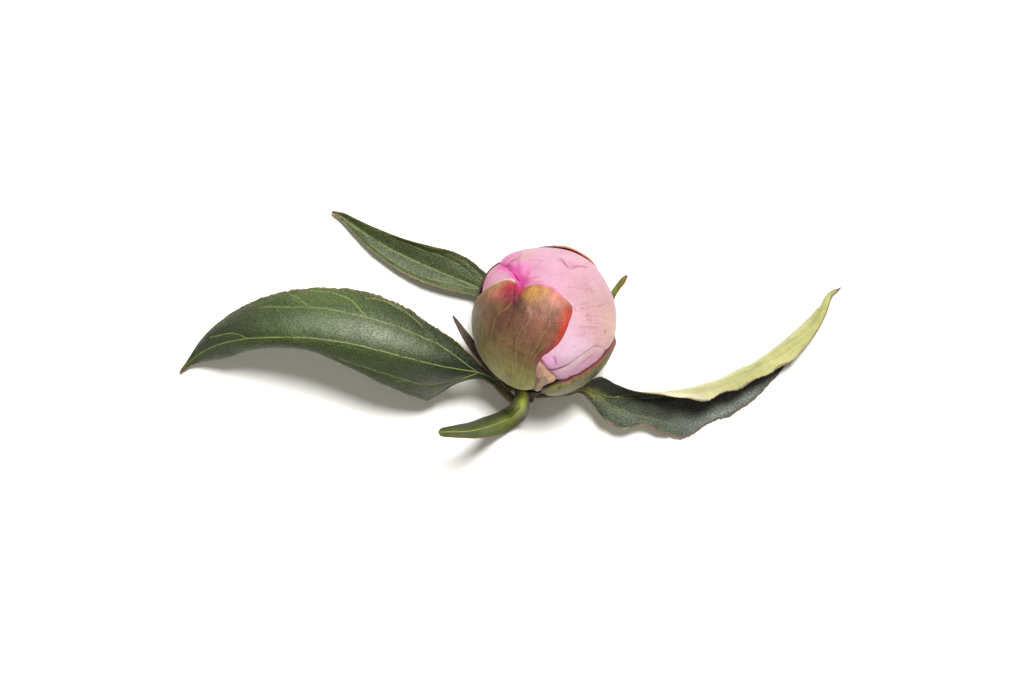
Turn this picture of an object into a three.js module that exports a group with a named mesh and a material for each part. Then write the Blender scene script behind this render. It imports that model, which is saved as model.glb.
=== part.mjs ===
// Cut peony bud with its leaves, lying on its side on a flat surface.
// Millimetres, +Z up. The bud, the right leaf and the leaf tips rest at z = 0.
// +X runs along the leaves, the origin is the middle of the footprint.
import * as THREE from "three";

// ---------------------------------------------------------------- driving dimensions (mm)
const BUD_CENTRE = new THREE.Vector3(9.7, 0.4, 19.55);
const BUD_TIP_WAY = new THREE.Vector3(0.25, 0.92, 0.3); // from the stem end to the closed tip
const HEART_RADIUS = 17.25;   // ball of closed inner petals
const INNER_PETAL_RADIUS = 17.7;
const OUTER_PETAL_RADIUS = 18.75;
const SEPAL_RADIUS = 19.75;
const OUTER_SEPAL_RADIUS = 20.7;
const PETAL_THICK = 0.65;
const SEPAL_THICK = 0.6;
const LEAF_THICK = 0.7;
const BRACT_THICK = 0.7;
const REST_FLAT = 0.8;        // how far the underside of the bud is pressed flat
const BASE_RADIUS = 19.3;     // outside of the dark base under the sepals
const STUB_RADIUS = 2.7;
const STUB_END = 23.6;          // cut end of the stem, from the middle of the bud

// ---------------------------------------------------------------- bud directions
// "polar" is counted in degrees from the stem end, "turn" in degrees round the bud:
// 0 faces up, 90 is the right-hand side, 180 faces down, -90 is the left-hand side.
const tipWay = BUD_TIP_WAY.clone().normalize();
const upWay = new THREE.Vector3(0, 0, 1).addScaledVector(tipWay, -tipWay.z).normalize();
const rightWay = new THREE.Vector3().crossVectors(tipWay, upWay).normalize();
const rad = THREE.MathUtils.degToRad;

function direction(polar, turn) {
  const p = rad(polar);
  const t = rad(turn);
  return tipWay.clone().multiplyScalar(-Math.cos(p))
    .addScaledVector(upWay, Math.sin(p) * Math.cos(t))
    .addScaledVector(rightWay, Math.sin(p) * Math.sin(t));
}

// A point on the bud at the given radius, pressed flat where the bud lies on the surface.
function onBud(way, radius) {
  const down = -way.z;
  let r = radius;
  if (down > 0.5) r = Math.min(radius, (radius - REST_FLAT) / down);
  return BUD_CENTRE.clone().addScaledVector(way, r);
}

// ---------------------------------------------------------------- closed meshes
// Builds one closed mesh from points and triangles; turns it outward when needed.
function closedMesh(points, triangles) {
  let volume = 0;
  const cross = new THREE.Vector3();
  for (const [a, b, c] of triangles) {
    cross.crossVectors(points[b], points[c]);
    volume += points[a].dot(cross) / 6;
  }
  const geometry = new THREE.BufferGeometry();
  const position = new Float32Array(points.length * 3);
  points.forEach((p, i) => p.toArray(position, i * 3));
  geometry.setAttribute("position", new THREE.BufferAttribute(position, 3));
  const order = volume < 0 ? triangles.map(([a, b, c]) => [a, c, b]) : triangles;
  geometry.setIndex(order.flat());
  geometry.computeVertexNormals();
  return geometry;
}

// Joins an outer and an inner sheet with the same grid along their rim.
function sheetFromGrids(outer, inner, rows, columns) {
  const points = [...outer, ...inner];
  const half = outer.length;
  const at = (i, j) => i * columns + j;
  const triangles = [];
  for (let i = 0; i < rows - 1; i += 1) {
    for (let j = 0; j < columns - 1; j += 1) {
      const [a, b, c, d] = [at(i, j), at(i, j + 1), at(i + 1, j + 1), at(i + 1, j)];
      triangles.push([a, b, c], [a, c, d]);
      triangles.push([half + a, half + c, half + b], [half + a, half + d, half + c]);
    }
  }
  const rim = [];
  for (let j = 0; j < columns; j += 1) rim.push(at(0, j));
  for (let i = 1; i < rows; i += 1) rim.push(at(i, columns - 1));
  for (let j = columns - 2; j >= 0; j -= 1) rim.push(at(rows - 1, j));
  for (let i = rows - 2; i > 0; i -= 1) rim.push(at(i, 0));
  rim.forEach((a, k) => {
    const b = rim[(k + 1) % rim.length];
    triangles.push([a, half + a, half + b], [a, half + b, b]);
  });
  return closedMesh(points, triangles);
}

// ---------------------------------------------------------------- leaves and bracts
// A blade runs along three rails (one margin, the midrib, the other margin).
// Both halves may bulge; a rib thickens the back of the blade and becomes the leaf stalk.
function blade(rails, shape) {
  const { along, across, thick, bulge, rib, wave = 0, face = 1 } = shape;
  const rail = (k) => new THREE.CatmullRomCurve3(rails.map((s) => new THREE.Vector3(...s[k])));
  const [first, middle, last] = [rail(0), rail(1), rail(2)];
  const columns = across + 1;
  const surface = [];
  for (let i = 0; i <= along; i += 1) {
    const t = i / along;
    const [a, m, b] = [first.getPoint(t), middle.getPoint(t), last.getPoint(t)];
    const way = middle.getTangent(t);
    const normalA = a.clone().sub(m).cross(way).multiplyScalar(face).normalize();
    const normalB = way.clone().cross(b.clone().sub(m)).multiplyScalar(face).normalize();
    const full = Math.min(1, Math.max(0, (t - 0.12) * 6)) * Math.min(1, (1 - t) * 4);
    for (let j = 0; j <= across; j += 1) {
      const s = (j / across) * 2 - 1;
      const side = s < 0 ? a : b;
      const normal = s < 0 ? normalA : normalB;
      const w = Math.abs(s);
      const lift = bulge[s < 0 ? 0 : 1] * 4 * w * (1 - w) * full
        + wave * full * w * w * Math.sin(t * 31 + (s < 0 ? 0 : 2));
      surface.push(m.clone().lerp(side, w).addScaledVector(normal, lift));
    }
  }
  const rows = along + 1;
  const at = (i, j) => surface[i * columns + j];
  const front = [];
  const back = [];
  for (let i = 0; i < rows; i += 1) {
    const t = i / along;
    const ribHeight = rib * (1 - 0.85 * t);
    for (let j = 0; j < columns; j += 1) {
      const alongWay = at(Math.min(i + 1, rows - 1), j).clone().sub(at(Math.max(i - 1, 0), j));
      const acrossWay = at(i, Math.min(j + 1, columns - 1)).clone()
        .sub(at(i, Math.max(j - 1, 0)));
      const normal = alongWay.cross(acrossWay).multiplyScalar(face).normalize();
      const fromRib = at(i, j).distanceTo(at(i, across / 2));
      const extra = ribHeight * Math.exp(-((fromRib / 0.8) ** 2));
      front.push(at(i, j).clone().addScaledVector(normal, thick / 2));
      back.push(at(i, j).clone().addScaledVector(normal, -thick / 2 - extra));
    }
  }
  return sheetFromGrids(front, back, rows, columns);
}

// ---------------------------------------------------------------- petals and sepals
// A shell piece lies round the bud. Its outline is a closed loop of [polar, turn] points;
// rings of points run from the middle of the piece out to that outline.
function shell(middle, outline, shape) {
  const { radius, thick, rings, spokes, relief = () => 0 } = shape;
  const loop = new THREE.CatmullRomCurve3(outline.map((p) => direction(...p)), true);
  const centre = direction(...middle);
  const ways = [];
  for (let k = 1; k <= rings; k += 1) {
    const f = k / rings;
    for (let i = 0; i < spokes; i += 1) {
      const rim = loop.getPoint(i / spokes).normalize();
      const angle = centre.angleTo(rim);
      const way = centre.clone().multiplyScalar(Math.sin((1 - f) * angle))
        .addScaledVector(rim, Math.sin(f * angle)).normalize();
      ways.push([way, f, i / spokes]);
    }
  }
  const place = (lift) => {
    const first = onBud(centre, radius + lift + relief(centre, 0, 0));
    return [first, ...ways.map(([way, f, u]) => onBud(way, radius + lift + relief(way, f, u)))];
  };
  const outer = place(thick);
  const inner = place(0);
  const half = outer.length;
  const at = (k, i) => 1 + (k - 1) * spokes + (i % spokes);
  const triangles = [];
  for (let i = 0; i < spokes; i += 1) {
    triangles.push([0, at(1, i), at(1, i + 1)]);
    triangles.push([half, half + at(1, i + 1), half + at(1, i)]);
    for (let k = 1; k < rings; k += 1) {
      const [a, b, c, d] = [at(k, i), at(k + 1, i), at(k + 1, i + 1), at(k, i + 1)];
      triangles.push([a, b, c], [a, c, d]);
      triangles.push([half + a, half + c, half + b], [half + a, half + d, half + c]);
    }
    const [a, b] = [at(rings, i), at(rings, i + 1)];
    triangles.push([a, half + a, half + b], [a, half + b, b]);
  }
  return closedMesh([...outer, ...inner], triangles);
}

// Polar and turn angles (degrees) of a direction.
function anglesOf(way) {
  const polar = Math.acos(THREE.MathUtils.clamp(-way.dot(tipWay), -1, 1));
  const turn = Math.atan2(way.dot(rightWay), way.dot(upWay));
  return [polar * 180 / Math.PI, turn * 180 / Math.PI];
}

// The closed heart: a ball whose inner petals step over one another towards the tip.
function heart(rows, columns) {
  const points = [onBud(direction(0, 0), HEART_RADIUS - 0.6)];
  for (let i = 1; i < rows; i += 1) {
    const polar = 180 * i / rows;
    for (let j = 0; j < columns; j += 1) {
      const turn = 360 * j / columns - 180;
      const spiral = (turn / 72 + polar / 60) % 1;
      const step = (spiral + 1) % 1;
      const fade = Math.sin(rad(polar));
      points.push(onBud(direction(polar, turn), HEART_RADIUS - 0.7 * fade * step));
    }
  }
  points.push(onBud(direction(180, 0), HEART_RADIUS - 0.5));
  const last = points.length - 1;
  const at = (i, j) => 1 + (i - 1) * columns + (j % columns);
  const triangles = [];
  for (let j = 0; j < columns; j += 1) {
    triangles.push([0, at(1, j), at(1, j + 1)]);
    triangles.push([last, at(rows - 1, j + 1), at(rows - 1, j)]);
    for (let i = 1; i < rows - 1; i += 1) {
      const [a, b, c, d] = [at(i, j), at(i + 1, j), at(i + 1, j + 1), at(i, j + 1)];
      triangles.push([a, b, c], [a, c, d]);
    }
  }
  return closedMesh(points, triangles);
}

// ---------------------------------------------------------------- stem stub with its dark base
// Turned round the bud's axis: [distance from the bud's middle, radius] pairs.
function stemStub(columns) {
  const rimAngle = 27;
  const profile = [];
  for (let i = 1; i <= 4; i += 1) {
    const p = rad(rimAngle * i / 4);
    profile.push([17.65 * Math.cos(p), 17.65 * Math.sin(p)]);
  }
  for (let i = 4; i >= 1; i -= 1) {
    const p = rad(10 + (rimAngle - 10) * i / 4);
    profile.push([BASE_RADIUS * Math.cos(p), BASE_RADIUS * Math.sin(p)]);
  }
  profile.push([19.3, STUB_RADIUS + 0.4], [20.2, STUB_RADIUS], [22.4, STUB_RADIUS * 0.96]);
  profile.push([23.1, STUB_RADIUS], [STUB_END, STUB_RADIUS * 0.94]);
  const place = (q, r, turn) => BUD_CENTRE.clone().addScaledVector(tipWay, -q)
    .addScaledVector(upWay, r * Math.cos(turn))
    .addScaledVector(rightWay, r * Math.sin(turn));
  const points = [place(17.65, 0, 0)];
  for (const [q, r] of profile) {
    for (let j = 0; j < columns; j += 1) points.push(place(q, r, 2 * Math.PI * j / columns));
  }
  points.push(place(STUB_END - 0.25, 0, 0));
  const last = points.length - 1;
  const at = (i, j) => 1 + i * columns + (j % columns);
  const triangles = [];
  for (let j = 0; j < columns; j += 1) {
    triangles.push([0, at(0, j), at(0, j + 1)]);
    triangles.push([last, at(profile.length - 1, j + 1), at(profile.length - 1, j)]);
    for (let i = 0; i < profile.length - 1; i += 1) {
      const [a, b, c, d] = [at(i, j), at(i + 1, j), at(i + 1, j + 1), at(i, j + 1)];
      triangles.push([a, b, c], [a, c, d]);
    }
  }
  return closedMesh(points, triangles);
}

// ---------------------------------------------------------------- rails of the blades (mm)
// Each station is [one margin, midrib, other margin], from the stem outward.
const LEFT = [
  [[0.9, -20.4, 13.4], [0.6, -20.9, 13], [0.2, -21.5, 12.6]],
  [[-1.4, -17.5, 14.7], [-1.9, -18, 14.4], [-2.4, -18.6, 14.1]],
  [[-4, -14.8, 16.4], [-4.6, -15.5, 16], [-5.1, -16.3, 15.3]],
  [[-7.6, -12.1, 18], [-8.5, -13.9, 17.6], [-9.6, -15.4, 15.4]],
  [[-11.5, -8.2, 19.2], [-13.7, -12.9, 20.2], [-14.4, -16.6, 14.2]],
  [[-16.5, -3.7, 20.6], [-19.5, -11.8, 22.6], [-19, -19.5, 10.4]],
  [[-22.3, 0.4, 21.6], [-25.2, -10.4, 24.6], [-23.3, -21.6, 8.6]],
  [[-29.5, 5, 22], [-32, -8.6, 26.6], [-28.2, -20.3, 13.4]],
  [[-38.1, 8.7, 22], [-39.9, -6.5, 28], [-36, -17, 19]],
  [[-47.2, 10.3, 21.4], [-48.1, -4.9, 28.4], [-46.6, -11.2, 22.6]],
  [[-56.8, 10, 20], [-56.4, -4, 27.4], [-54.8, -7.6, 23.6]],
  [[-66.5, 8.3, 17.6], [-65, -3.9, 24.6], [-63.7, -6.8, 20.8]],
  [[-75.5, 5, 14.2], [-73.5, -4.3, 20], [-72.6, -7.4, 15.8]],
  [[-83, -0.1, 10.4], [-81.2, -5.7, 14], [-80.7, -9.8, 9]],
  [[-88.1, -5, 6.6], [-87.3, -8.1, 7.8], [-86.6, -10.7, 4.6]],
  [[-91.9, -10, 3.2], [-91.7, -11, 3.2], [-91.2, -12, 2.2]],
  [[-94.7, -13.6, 0.9], [-94.5, -13.9, 0.9], [-94.3, -14.2, 0.8]],
];
const UPPER = [
  [[2.6, -19, 10.2], [2.1, -19.6, 9.7], [1.5, -20.2, 9.3]],
  [[0.3, -14.9, 6.9], [-0.4, -15.4, 6.5], [-1.1, -15.8, 6.1]],
  [[-1.9, -8.3, 3.5], [-2.9, -8.6, 3.3], [-3.9, -8.9, 3.1]],
  [[-3.7, -0, 3], [-4.8, -0.6, 2.8], [-5.9, -1.1, 2.8]],
  [[-4.4, 7.4, 3.4], [-6.8, 5.7, 2.4], [-8.4, 4.6, 3.2]],
  [[-5.5, 12.7, 4.4], [-9.1, 10.1, 2.1], [-10.1, 7.7, 4.4]],
  [[-9.5, 16.9, 4.9], [-13.5, 12.2, 1.7], [-13.8, 8.8, 4.8]],
  [[-14.9, 20.2, 4.9], [-19.8, 14.7, 1.5], [-19.7, 10.2, 4.8]],
  [[-22.3, 22.2, 4.4], [-27, 17.9, 1.4], [-26, 12.1, 4.2]],
  [[-30.9, 24.6, 3.9], [-34.1, 21.3, 1.3], [-32.6, 15.8, 3.7]],
  [[-38, 27.2, 3.3], [-40.1, 24.9, 1.3], [-39.7, 20.8, 3.1]],
  [[-43.8, 30, 2.7], [-45, 28.2, 1.3], [-44.9, 26, 2.4]],
  [[-47.5, 31.7, 2.2], [-48.1, 30.5, 1.4], [-48.1, 29.3, 1.9]],
  [[-51, 32.4, 1.7], [-51.1, 32, 1.6], [-51, 31.6, 1.6]],
];
const RIGHT = [
  [[7.5, -20, 12.1], [7.3, -20.6, 11.5], [7.2, -21.2, 10.9]],
  [[11.3, -19.8, 11.1], [11.2, -20.4, 10.5], [11.1, -21, 9.9]],
  [[16.4, -18.9, 10.7], [16.3, -19.5, 10.1], [16.2, -20.3, 9.6]],
  [[21, -16.8, 11.4], [20.4, -18.6, 9.8], [19.7, -19.6, 9.2]],
  [[25.2, -15, 13.2], [24.5, -19.8, 9], [22.8, -22.7, 8]],
  [[29.4, -16.8, 13.6], [29.1, -20.9, 8.4], [26, -27, 6.8]],
  [[34.5, -18.6, 13.6], [34.8, -21.2, 7.2], [30.6, -30, 6.6]],
  [[40.6, -19.9, 13.4], [41.4, -20.9, 5.2], [38, -29.9, 6]],
  [[47.4, -21.2, 13], [48.1, -19.8, 3.4], [45, -32, 3]],
  [[54, -22, 12], [54.5, -18.1, 2.2], [52, -32.3, 0.7]],
  [[60.5, -19.8, 11], [61.7, -15.7, 1.7], [60.6, -28.1, 0.6]],
  [[67.1, -17.7, 10], [68.8, -12.3, 1.4], [67.5, -23.8, 0.6]],
  [[73.2, -14.8, 8.6], [75.1, -8, 1.3], [73.8, -18.3, 0.7]],
  [[79, -11, 7], [80.9, -3.3, 1.3], [78.6, -12.3, 0.8]],
  [[84.4, -6.7, 5.2], [85.7, 2.4, 1.3], [83.2, -3.7, 0.8]],
  [[89.2, 0.8, 3.8], [89.4, 7.3, 1.3], [87.8, 3.7, 0.8]],
  [[91.4, 7.4, 2.6], [91.3, 9.6, 1.4], [90.9, 8, 0.9]],
  [[94.5, 10.2, 1.6], [94.6, 10.5, 1.4], [94.6, 10.4, 1]],
];
const FRONT = [
  [[3.4, -18.8, 17], [4.6, -18.7, 17.6], [5.8, -19, 17]],
  [[2.6, -20.6, 16.9], [4, -20.6, 17.4], [5.4, -20.9, 16.8]],
  [[1.7, -22.8, 14.7], [3.4, -23.1, 15.5], [5.1, -23.7, 14.3]],
  [[0.5, -24.5, 9.2], [2.2, -25.3, 9.6], [4.2, -26.7, 7.8]],
  [[-1.7, -25.7, 5.6], [-0.1, -27.2, 5], [1.6, -29.1, 2.6]],
  [[-4.5, -26.8, 7.2], [-3.2, -28.4, 5.8], [-1.8, -31.1, 2.6]],
  [[-7.6, -27.1, 15], [-7, -29.3, 13.8], [-6, -31.9, 11.6]],
  [[-11.2, -27.3, 21.4], [-10.8, -29.8, 20.8], [-10.1, -32, 19.4]],
  [[-14.7, -27.9, 26.2], [-14.5, -29.9, 25.9], [-14.1, -31.6, 25]],
  [[-17.6, -28.7, 29], [-17.6, -29.8, 28.9], [-17.4, -30.9, 28.4]],
  [[-19.3, -29.4, 30.8], [-19.4, -29.7, 30.8], [-19.3, -30.1, 30.7]],
];
const DARK = [
  [[1.4, -18, 12.1], [1, -18.5, 11.8], [0.5, -19, 11.4]],
  [[-1.1, -17, 11], [-1.8, -17.6, 10.7], [-2.5, -18.3, 10.2]],
  [[-4, -13.3, 10.3], [-4.8, -14, 10], [-5.7, -14.8, 9.6]],
  [[-6.9, -9.5, 10.3], [-7.7, -10.3, 10], [-8.6, -11.1, 9.6]],
  [[-9.5, -5.6, 11.2], [-10.5, -6.4, 10.8], [-11.5, -7.3, 10.4]],
  [[-12.2, -2.2, 12.4], [-12.9, -2.8, 12.2], [-13.7, -3.5, 12]],
  [[-14.6, 0.9, 13.4], [-15, 0.5, 13.3], [-15.5, 0.1, 13.2]],
  [[-16, 2.4, 14.2], [-16.1, 2.3, 14.2], [-16.3, 2.1, 14.1]],
];
const SMALL = [
  [[4.8, -18, 9.7], [5.5, -18.3, 10.1], [6.2, -18.7, 10.5]],
  [[6.9, -16.3, 6.4], [7.8, -16.9, 7], [8.8, -17.4, 7.6]],
  [[10.6, -13.4, 3.2], [11.7, -14, 4], [12.8, -14.7, 4.7]],
  [[14.7, -9, 1.1], [15.9, -9.7, 1.9], [17, -10.5, 2.8]],
  [[18.9, -3.5, 0.7], [19.9, -4.4, 1.6], [20.9, -5.3, 2.4]],
  [[22.9, 1.4, 2.9], [23.7, 0.2, 3.6], [24.5, -1, 4.3]],
  [[26.3, 4.9, 6.9], [27, 3.6, 7.5], [27.6, 2.4, 8.1]],
  [[28, 7.4, 10.5], [28.6, 6.4, 11.1], [29.2, 5.4, 11.7]],
  [[28.1, 8.5, 11.8], [28.7, 7.8, 12.6], [29.3, 7.1, 13.4]],
  [[29.7, 10.9, 12.9], [30.2, 10.2, 13.6], [30.7, 9.5, 14.3]],
  [[31.2, 12.8, 14], [31.7, 12.2, 14.6], [32.2, 11.6, 15.2]],
  [[32.5, 13.7, 15], [32.7, 13.5, 15.2], [32.9, 13.3, 15.4]],
];

// ---------------------------------------------------------------- outlines on the bud (degrees)
const FRONT_SEPAL = [
  [19, -12], [29, 6], [43, 7], [53, 6], [63, 5.5], [73, 5.6], [80, 9], [85, 14], [92, 18],
  [103, 20.6], [113, 21.6], [122, 21.6], [128, 18], [133, 10], [137, 0], [137, -12],
  [134, -22], [130, -29], [124, -33], [128, -38], [129, -46], [126, -56], [120, -66],
  [111, -76], [100, -88], [92, -91], [84, -100], [72, -110], [58, -110], [44, -98],
  [33, -80], [28, -58], [23, -36],
];
const RIGHT_SEPAL = [
  [20, 60], [26, 32], [34, 26.7], [49, 26], [56, 30], [64, 38], [71, 45], [77, 51],
  [82, 61], [88, 70], [92, 78], [96, 91], [91, 103], [82, 118], [70, 130], [56, 137],
  [42, 137], [30, 128], [22, 100],
];
const BACK_SEPAL = [
  [19, 168], [24, 138], [34, 142], [48, 144], [64, 143], [78, 138], [92, 128], [108, 119],
  [130, 117], [148, 120], [154, 135], [160, 153], [163, 178], [162, -160], [158, -142],
  [152, -128], [135, -128], [115, -128], [95, -130], [75, -132], [55, -134], [38, -136],
  [26, -144],
];
const LEFT_SEPAL = [
  [20, -118], [26, -98], [36, -104], [46, -113], [58, -118], [72, -117], [84, -109],
  [92, -98], [101, -94], [108, -95], [115, -97], [123, -101], [127, -111], [122, -123],
  [108, -124], [92, -125], [74, -127], [56, -129], [40, -130], [27, -133],
];
const INNER_SEPAL = [
  [25, 16], [34, 9.5], [48, 9], [60, 8.3], [68, 8.3], [72, 8], [70, 13], [64, 18], [57, 24],
  [46, 23.5], [36, 23],
];
const GUARD_PETAL = [
  [66, 18], [70, 23.5], [77, 30], [83, 37], [90, 45], [96, 52], [99, 64], [97, 80],
  [100, 98], [106, 116], [118, 134], [132, 150], [142, 172], [144, -158], [140, -128],
  [133, -104], [136, -86], [138, -64], [136, -49], [131, -37], [122, -28], [114, -8],
  [112, 8], [100, 10], [88, 4], [76, -2], [68, 6],
];
const LEFT_PETAL = [
  [118, -22], [132, -26], [144, -40], [150, -70], [150, -105], [142, -135], [124, -146],
  [100, -147], [80, -138], [72, -116], [80, -88], [94, -64], [106, -40],
];
const LOWER_PETAL = [
  [53.5, 33], [56.5, 27], [62, 19.5], [64.5, 13.5], [69, 8], [74, 3], [86, 12], [98, 30],
  [106, 55], [108, 80], [100, 100], [84, 112], [66, 110], [52, 98], [44, 78], [44, 56],
  [49, 42],
];
const UNDER_PETAL = [
  [36, 170], [44, 138], [62, 126], [84, 124], [106, 118], [130, 120], [150, 140],
  [158, 175], [150, -155], [130, -154], [106, -155], [84, -146], [62, -142], [44, -150],
];

// Small folds that run together towards the notch of the front sepal.
const pinch = direction(130, -40);
function crumple(way) {
  const [polar, turn] = anglesOf(way);
  const near = Math.exp(-((way.angleTo(pinch) / 0.45) ** 2));
  return 0.15 * near * Math.sin(turn * 0.35 + polar * 0.12) + 0.03 * Math.sin(turn * 0.2);
}
function guardRelief(way, f) {
  const [polar, turn] = anglesOf(way);
  const swell = Math.exp(-(((turn - 74) / 28) ** 2) - (((polar - 116) / 30) ** 2));
  return 0.3 * swell + 0.03 * Math.sin(way.x * 9 + way.y * 5) * f;
}
function frontRelief(way) {
  const [polar, turn] = anglesOf(way);
  const valley = Math.exp(-(((turn + 33) / 9) ** 2)) * Math.max(0, (polar - 95) / 40);
  return -0.12 * Math.min(1, valley) * 2 + 0.14 * Math.sin(rad(polar - 30));
}
function rightRelief(way) {
  const [polar] = anglesOf(way);
  return 0.25 * Math.exp(-(((polar - 34) / 14) ** 2)) - 0.85 * Math.exp(-(((polar - 20) / 7) ** 2));
}

// ---------------------------------------------------------------- the pieces
const leafShape = { along: 30, across: 8, thick: LEAF_THICK, rib: 0.9 };
const bractShape = { along: 20, across: 4, thick: BRACT_THICK, rib: 0.3, bulge: [0.2, 0.2] };
const petal = { thick: PETAL_THICK, radius: INNER_PETAL_RADIUS, rings: 6, spokes: 26 };
const sepal = { thick: SEPAL_THICK, radius: SEPAL_RADIUS, rings: 5, spokes: 28 };

const pieces = [
  ["petal_heart", heart(14, 28), 0xe9a8cb, 0.55],
  ["petal_guard", shell([130, 60], GUARD_PETAL, { ...petal, radius: OUTER_PETAL_RADIUS,
    rings: 8, spokes: 38, relief: guardRelief }), 0xedbcd3, 0.5],
  ["petal_left", shell([116, -90], LEFT_PETAL, { ...petal, rings: 7, spokes: 30,
    relief: crumple }), 0xdf6fb4, 0.5],
  ["petal_lower", shell([76, 62], LOWER_PETAL, petal), 0xe7a6d6, 0.5],
  ["petal_under", shell([98, 170], UNDER_PETAL, petal), 0xebb6cf, 0.5],
  ["sepal_front", shell([82, -42], FRONT_SEPAL, { ...sepal, rings: 6, spokes: 48,
    relief: frontRelief }), 0x7d5a42, 0.6],
  ["sepal_right", shell([58, 84], RIGHT_SEPAL, { ...sepal, radius: OUTER_SEPAL_RADIUS,
    rings: 6, spokes: 34, relief: rightRelief }), 0x88854e, 0.6],
  ["sepal_back", shell([90, 178], BACK_SEPAL, { ...sepal, rings: 6, spokes: 36 }),
    0x8d8a55, 0.6],
  ["sepal_left", shell([84, -121], LEFT_SEPAL, sepal), 0x6f6a48, 0.6],
  ["sepal_inner", shell([52, 15], INNER_SEPAL, { ...sepal, rings: 3, spokes: 18 }),
    0xc79a7e, 0.6],
  ["stem_stub", stemStub(20), 0x3a3322, 0.7],
  ["bract_front", blade(FRONT, { ...bractShape, along: 26, across: 6, bulge: [-0.5, -0.5] }),
    0x5d7a35, 0.5],
  ["bract_dark", blade(DARK, bractShape), 0x37352c, 0.6],
  ["bract_small", blade(SMALL, { ...bractShape, face: -1 }), 0x7b7a3a, 0.6],
  ["leaf_left", blade(LEFT, { ...leafShape, bulge: [1.4, 0.9], wave: 0.25 }), 0x4c6b34, 0.45],
  ["leaf_upper", blade(UPPER, { ...leafShape, bulge: [-0.5, -0.4], wave: 0.2 }),
    0x4f6a3c, 0.45],
  ["leaf_right", blade(RIGHT, { ...leafShape, bulge: [-1.2, 0.5], wave: 0.15 }),
    0x46583f, 0.45],
];

const part = new THREE.Group();
part.name = "cut_peony_bud";
for (const [name, geometry, colour, roughness] of pieces) {
  const material = new THREE.MeshStandardMaterial({ color: colour, roughness, metalness: 0 });
  material.name = name;
  const mesh = new THREE.Mesh(geometry, material);
  mesh.name = name;
  part.add(mesh);
}

export default part;
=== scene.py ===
# %% [markdown]
# # A cut peony bud with its leaves
#
# A closed, round peony bud lies on a white surface. Five sepals still wrap
# it, a pale guard petal shows on its right, and three leaves and three
# narrow bracts spread from under it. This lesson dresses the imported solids
# of that bud with real surfaces and real skins, piece by piece.
#
# Every solid is in the frame already. Each of them is replaced here by a
# finer surface that lies in the same place, so nothing has to be fitted.

# %% Load the frame
import bpy
import numpy as np
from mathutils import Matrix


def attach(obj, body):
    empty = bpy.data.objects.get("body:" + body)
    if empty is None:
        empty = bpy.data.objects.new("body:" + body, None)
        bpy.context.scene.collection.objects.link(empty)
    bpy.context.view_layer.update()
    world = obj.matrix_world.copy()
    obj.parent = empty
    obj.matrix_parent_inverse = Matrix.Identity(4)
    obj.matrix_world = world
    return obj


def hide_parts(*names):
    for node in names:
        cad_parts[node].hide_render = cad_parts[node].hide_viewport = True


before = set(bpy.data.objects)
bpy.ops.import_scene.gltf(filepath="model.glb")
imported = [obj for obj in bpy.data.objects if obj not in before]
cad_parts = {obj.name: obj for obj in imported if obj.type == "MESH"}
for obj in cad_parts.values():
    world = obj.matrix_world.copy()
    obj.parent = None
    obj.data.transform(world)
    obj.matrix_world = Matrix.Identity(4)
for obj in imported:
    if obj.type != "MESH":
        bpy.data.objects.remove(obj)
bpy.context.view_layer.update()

# %% [markdown]
# ## Camera
#
# The picture was taken from straight above. A camera that looks down the Z
# axis from 0.67 m, with the top of the picture towards +Y, gives that view.
# The lens is chosen so that the picture is 293 mm wide on the surface. A
# longer lens from further away would flatten the bud, so the distance
# matters as much as the width.

# %% Camera
MM = 0.001                      # every length below is in millimetres
CAMERA_HEIGHT = 670.0
PICTURE_WIDTH = 293.4           # on the surface
SENSOR = 36.0

camera_data = bpy.data.cameras.new("camera")
camera_data.sensor_width = SENSOR
camera_data.lens = SENSOR * CAMERA_HEIGHT / PICTURE_WIDTH
camera_data.clip_start, camera_data.clip_end = 0.01, 20.0
camera = bpy.data.objects.new("camera", camera_data)
camera.location = (0.476 * MM, -5.0 * MM, CAMERA_HEIGHT * MM)
bpy.context.scene.collection.objects.link(camera)
bpy.context.scene.camera = camera
print("lens:", round(camera_data.lens, 1), "mm")

# %% [markdown]
# ## Light and colour
#
# The shadows fall towards the bottom of the picture and are about half as
# long as things are high, so the lamp stands behind the bud, a little to
# the right and 64 degrees up. Their edges are soft: the lamp is a disk
# about 18 degrees wide. A pale, warm, even sky fills the shadows. The lamp
# over-exposes the white surface, as in the picture, so only the deep part
# of each shadow shows. The Standard view keeps that white pure.

# %% Light
LIGHT_WAY = np.array([0.16, 0.45, 1.0])
LIGHT_DISTANCE = 1.5
LIGHT_POWER = 40.0
LIGHT_SIZE = 0.48
SKY_STRENGTH = 0.34

scene = bpy.context.scene
scene.view_settings.view_transform = "Standard"
scene.view_settings.look = "None"

light_data = bpy.data.lights.new("soft_lamp", "AREA")
light_data.shape = "DISK"
light_data.size = LIGHT_SIZE
light_data.energy = LIGHT_POWER
light_data.color = (1.0, 0.985, 0.955)
lamp = bpy.data.objects.new("soft_lamp", light_data)
way = LIGHT_WAY / np.linalg.norm(LIGHT_WAY)
lamp.location = way * LIGHT_DISTANCE
lamp.rotation_euler = (-np.arcsin(way[1]), np.arctan2(way[0], way[2]), 0.0)
scene.collection.objects.link(lamp)

world = bpy.data.worlds.new("pale_sky")
scene.world = world
world.use_nodes = True
sky = world.node_tree.nodes["Background"]
sky.inputs["Color"].default_value = (1.0, 0.94, 0.87, 1.0)
sky.inputs["Strength"].default_value = SKY_STRENGTH
print("lamp at", [round(float(v), 2) for v in lamp.location])

# %% [markdown]
# ## Colours as they look
#
# It is easier to say how a surface looks than what share of light it
# returns. `seen` takes a screen colour, makes it linear, and divides it by
# how bright the studio is at the surface.

# %% Colours
STUDIO_LIGHT = 1.55


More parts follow.
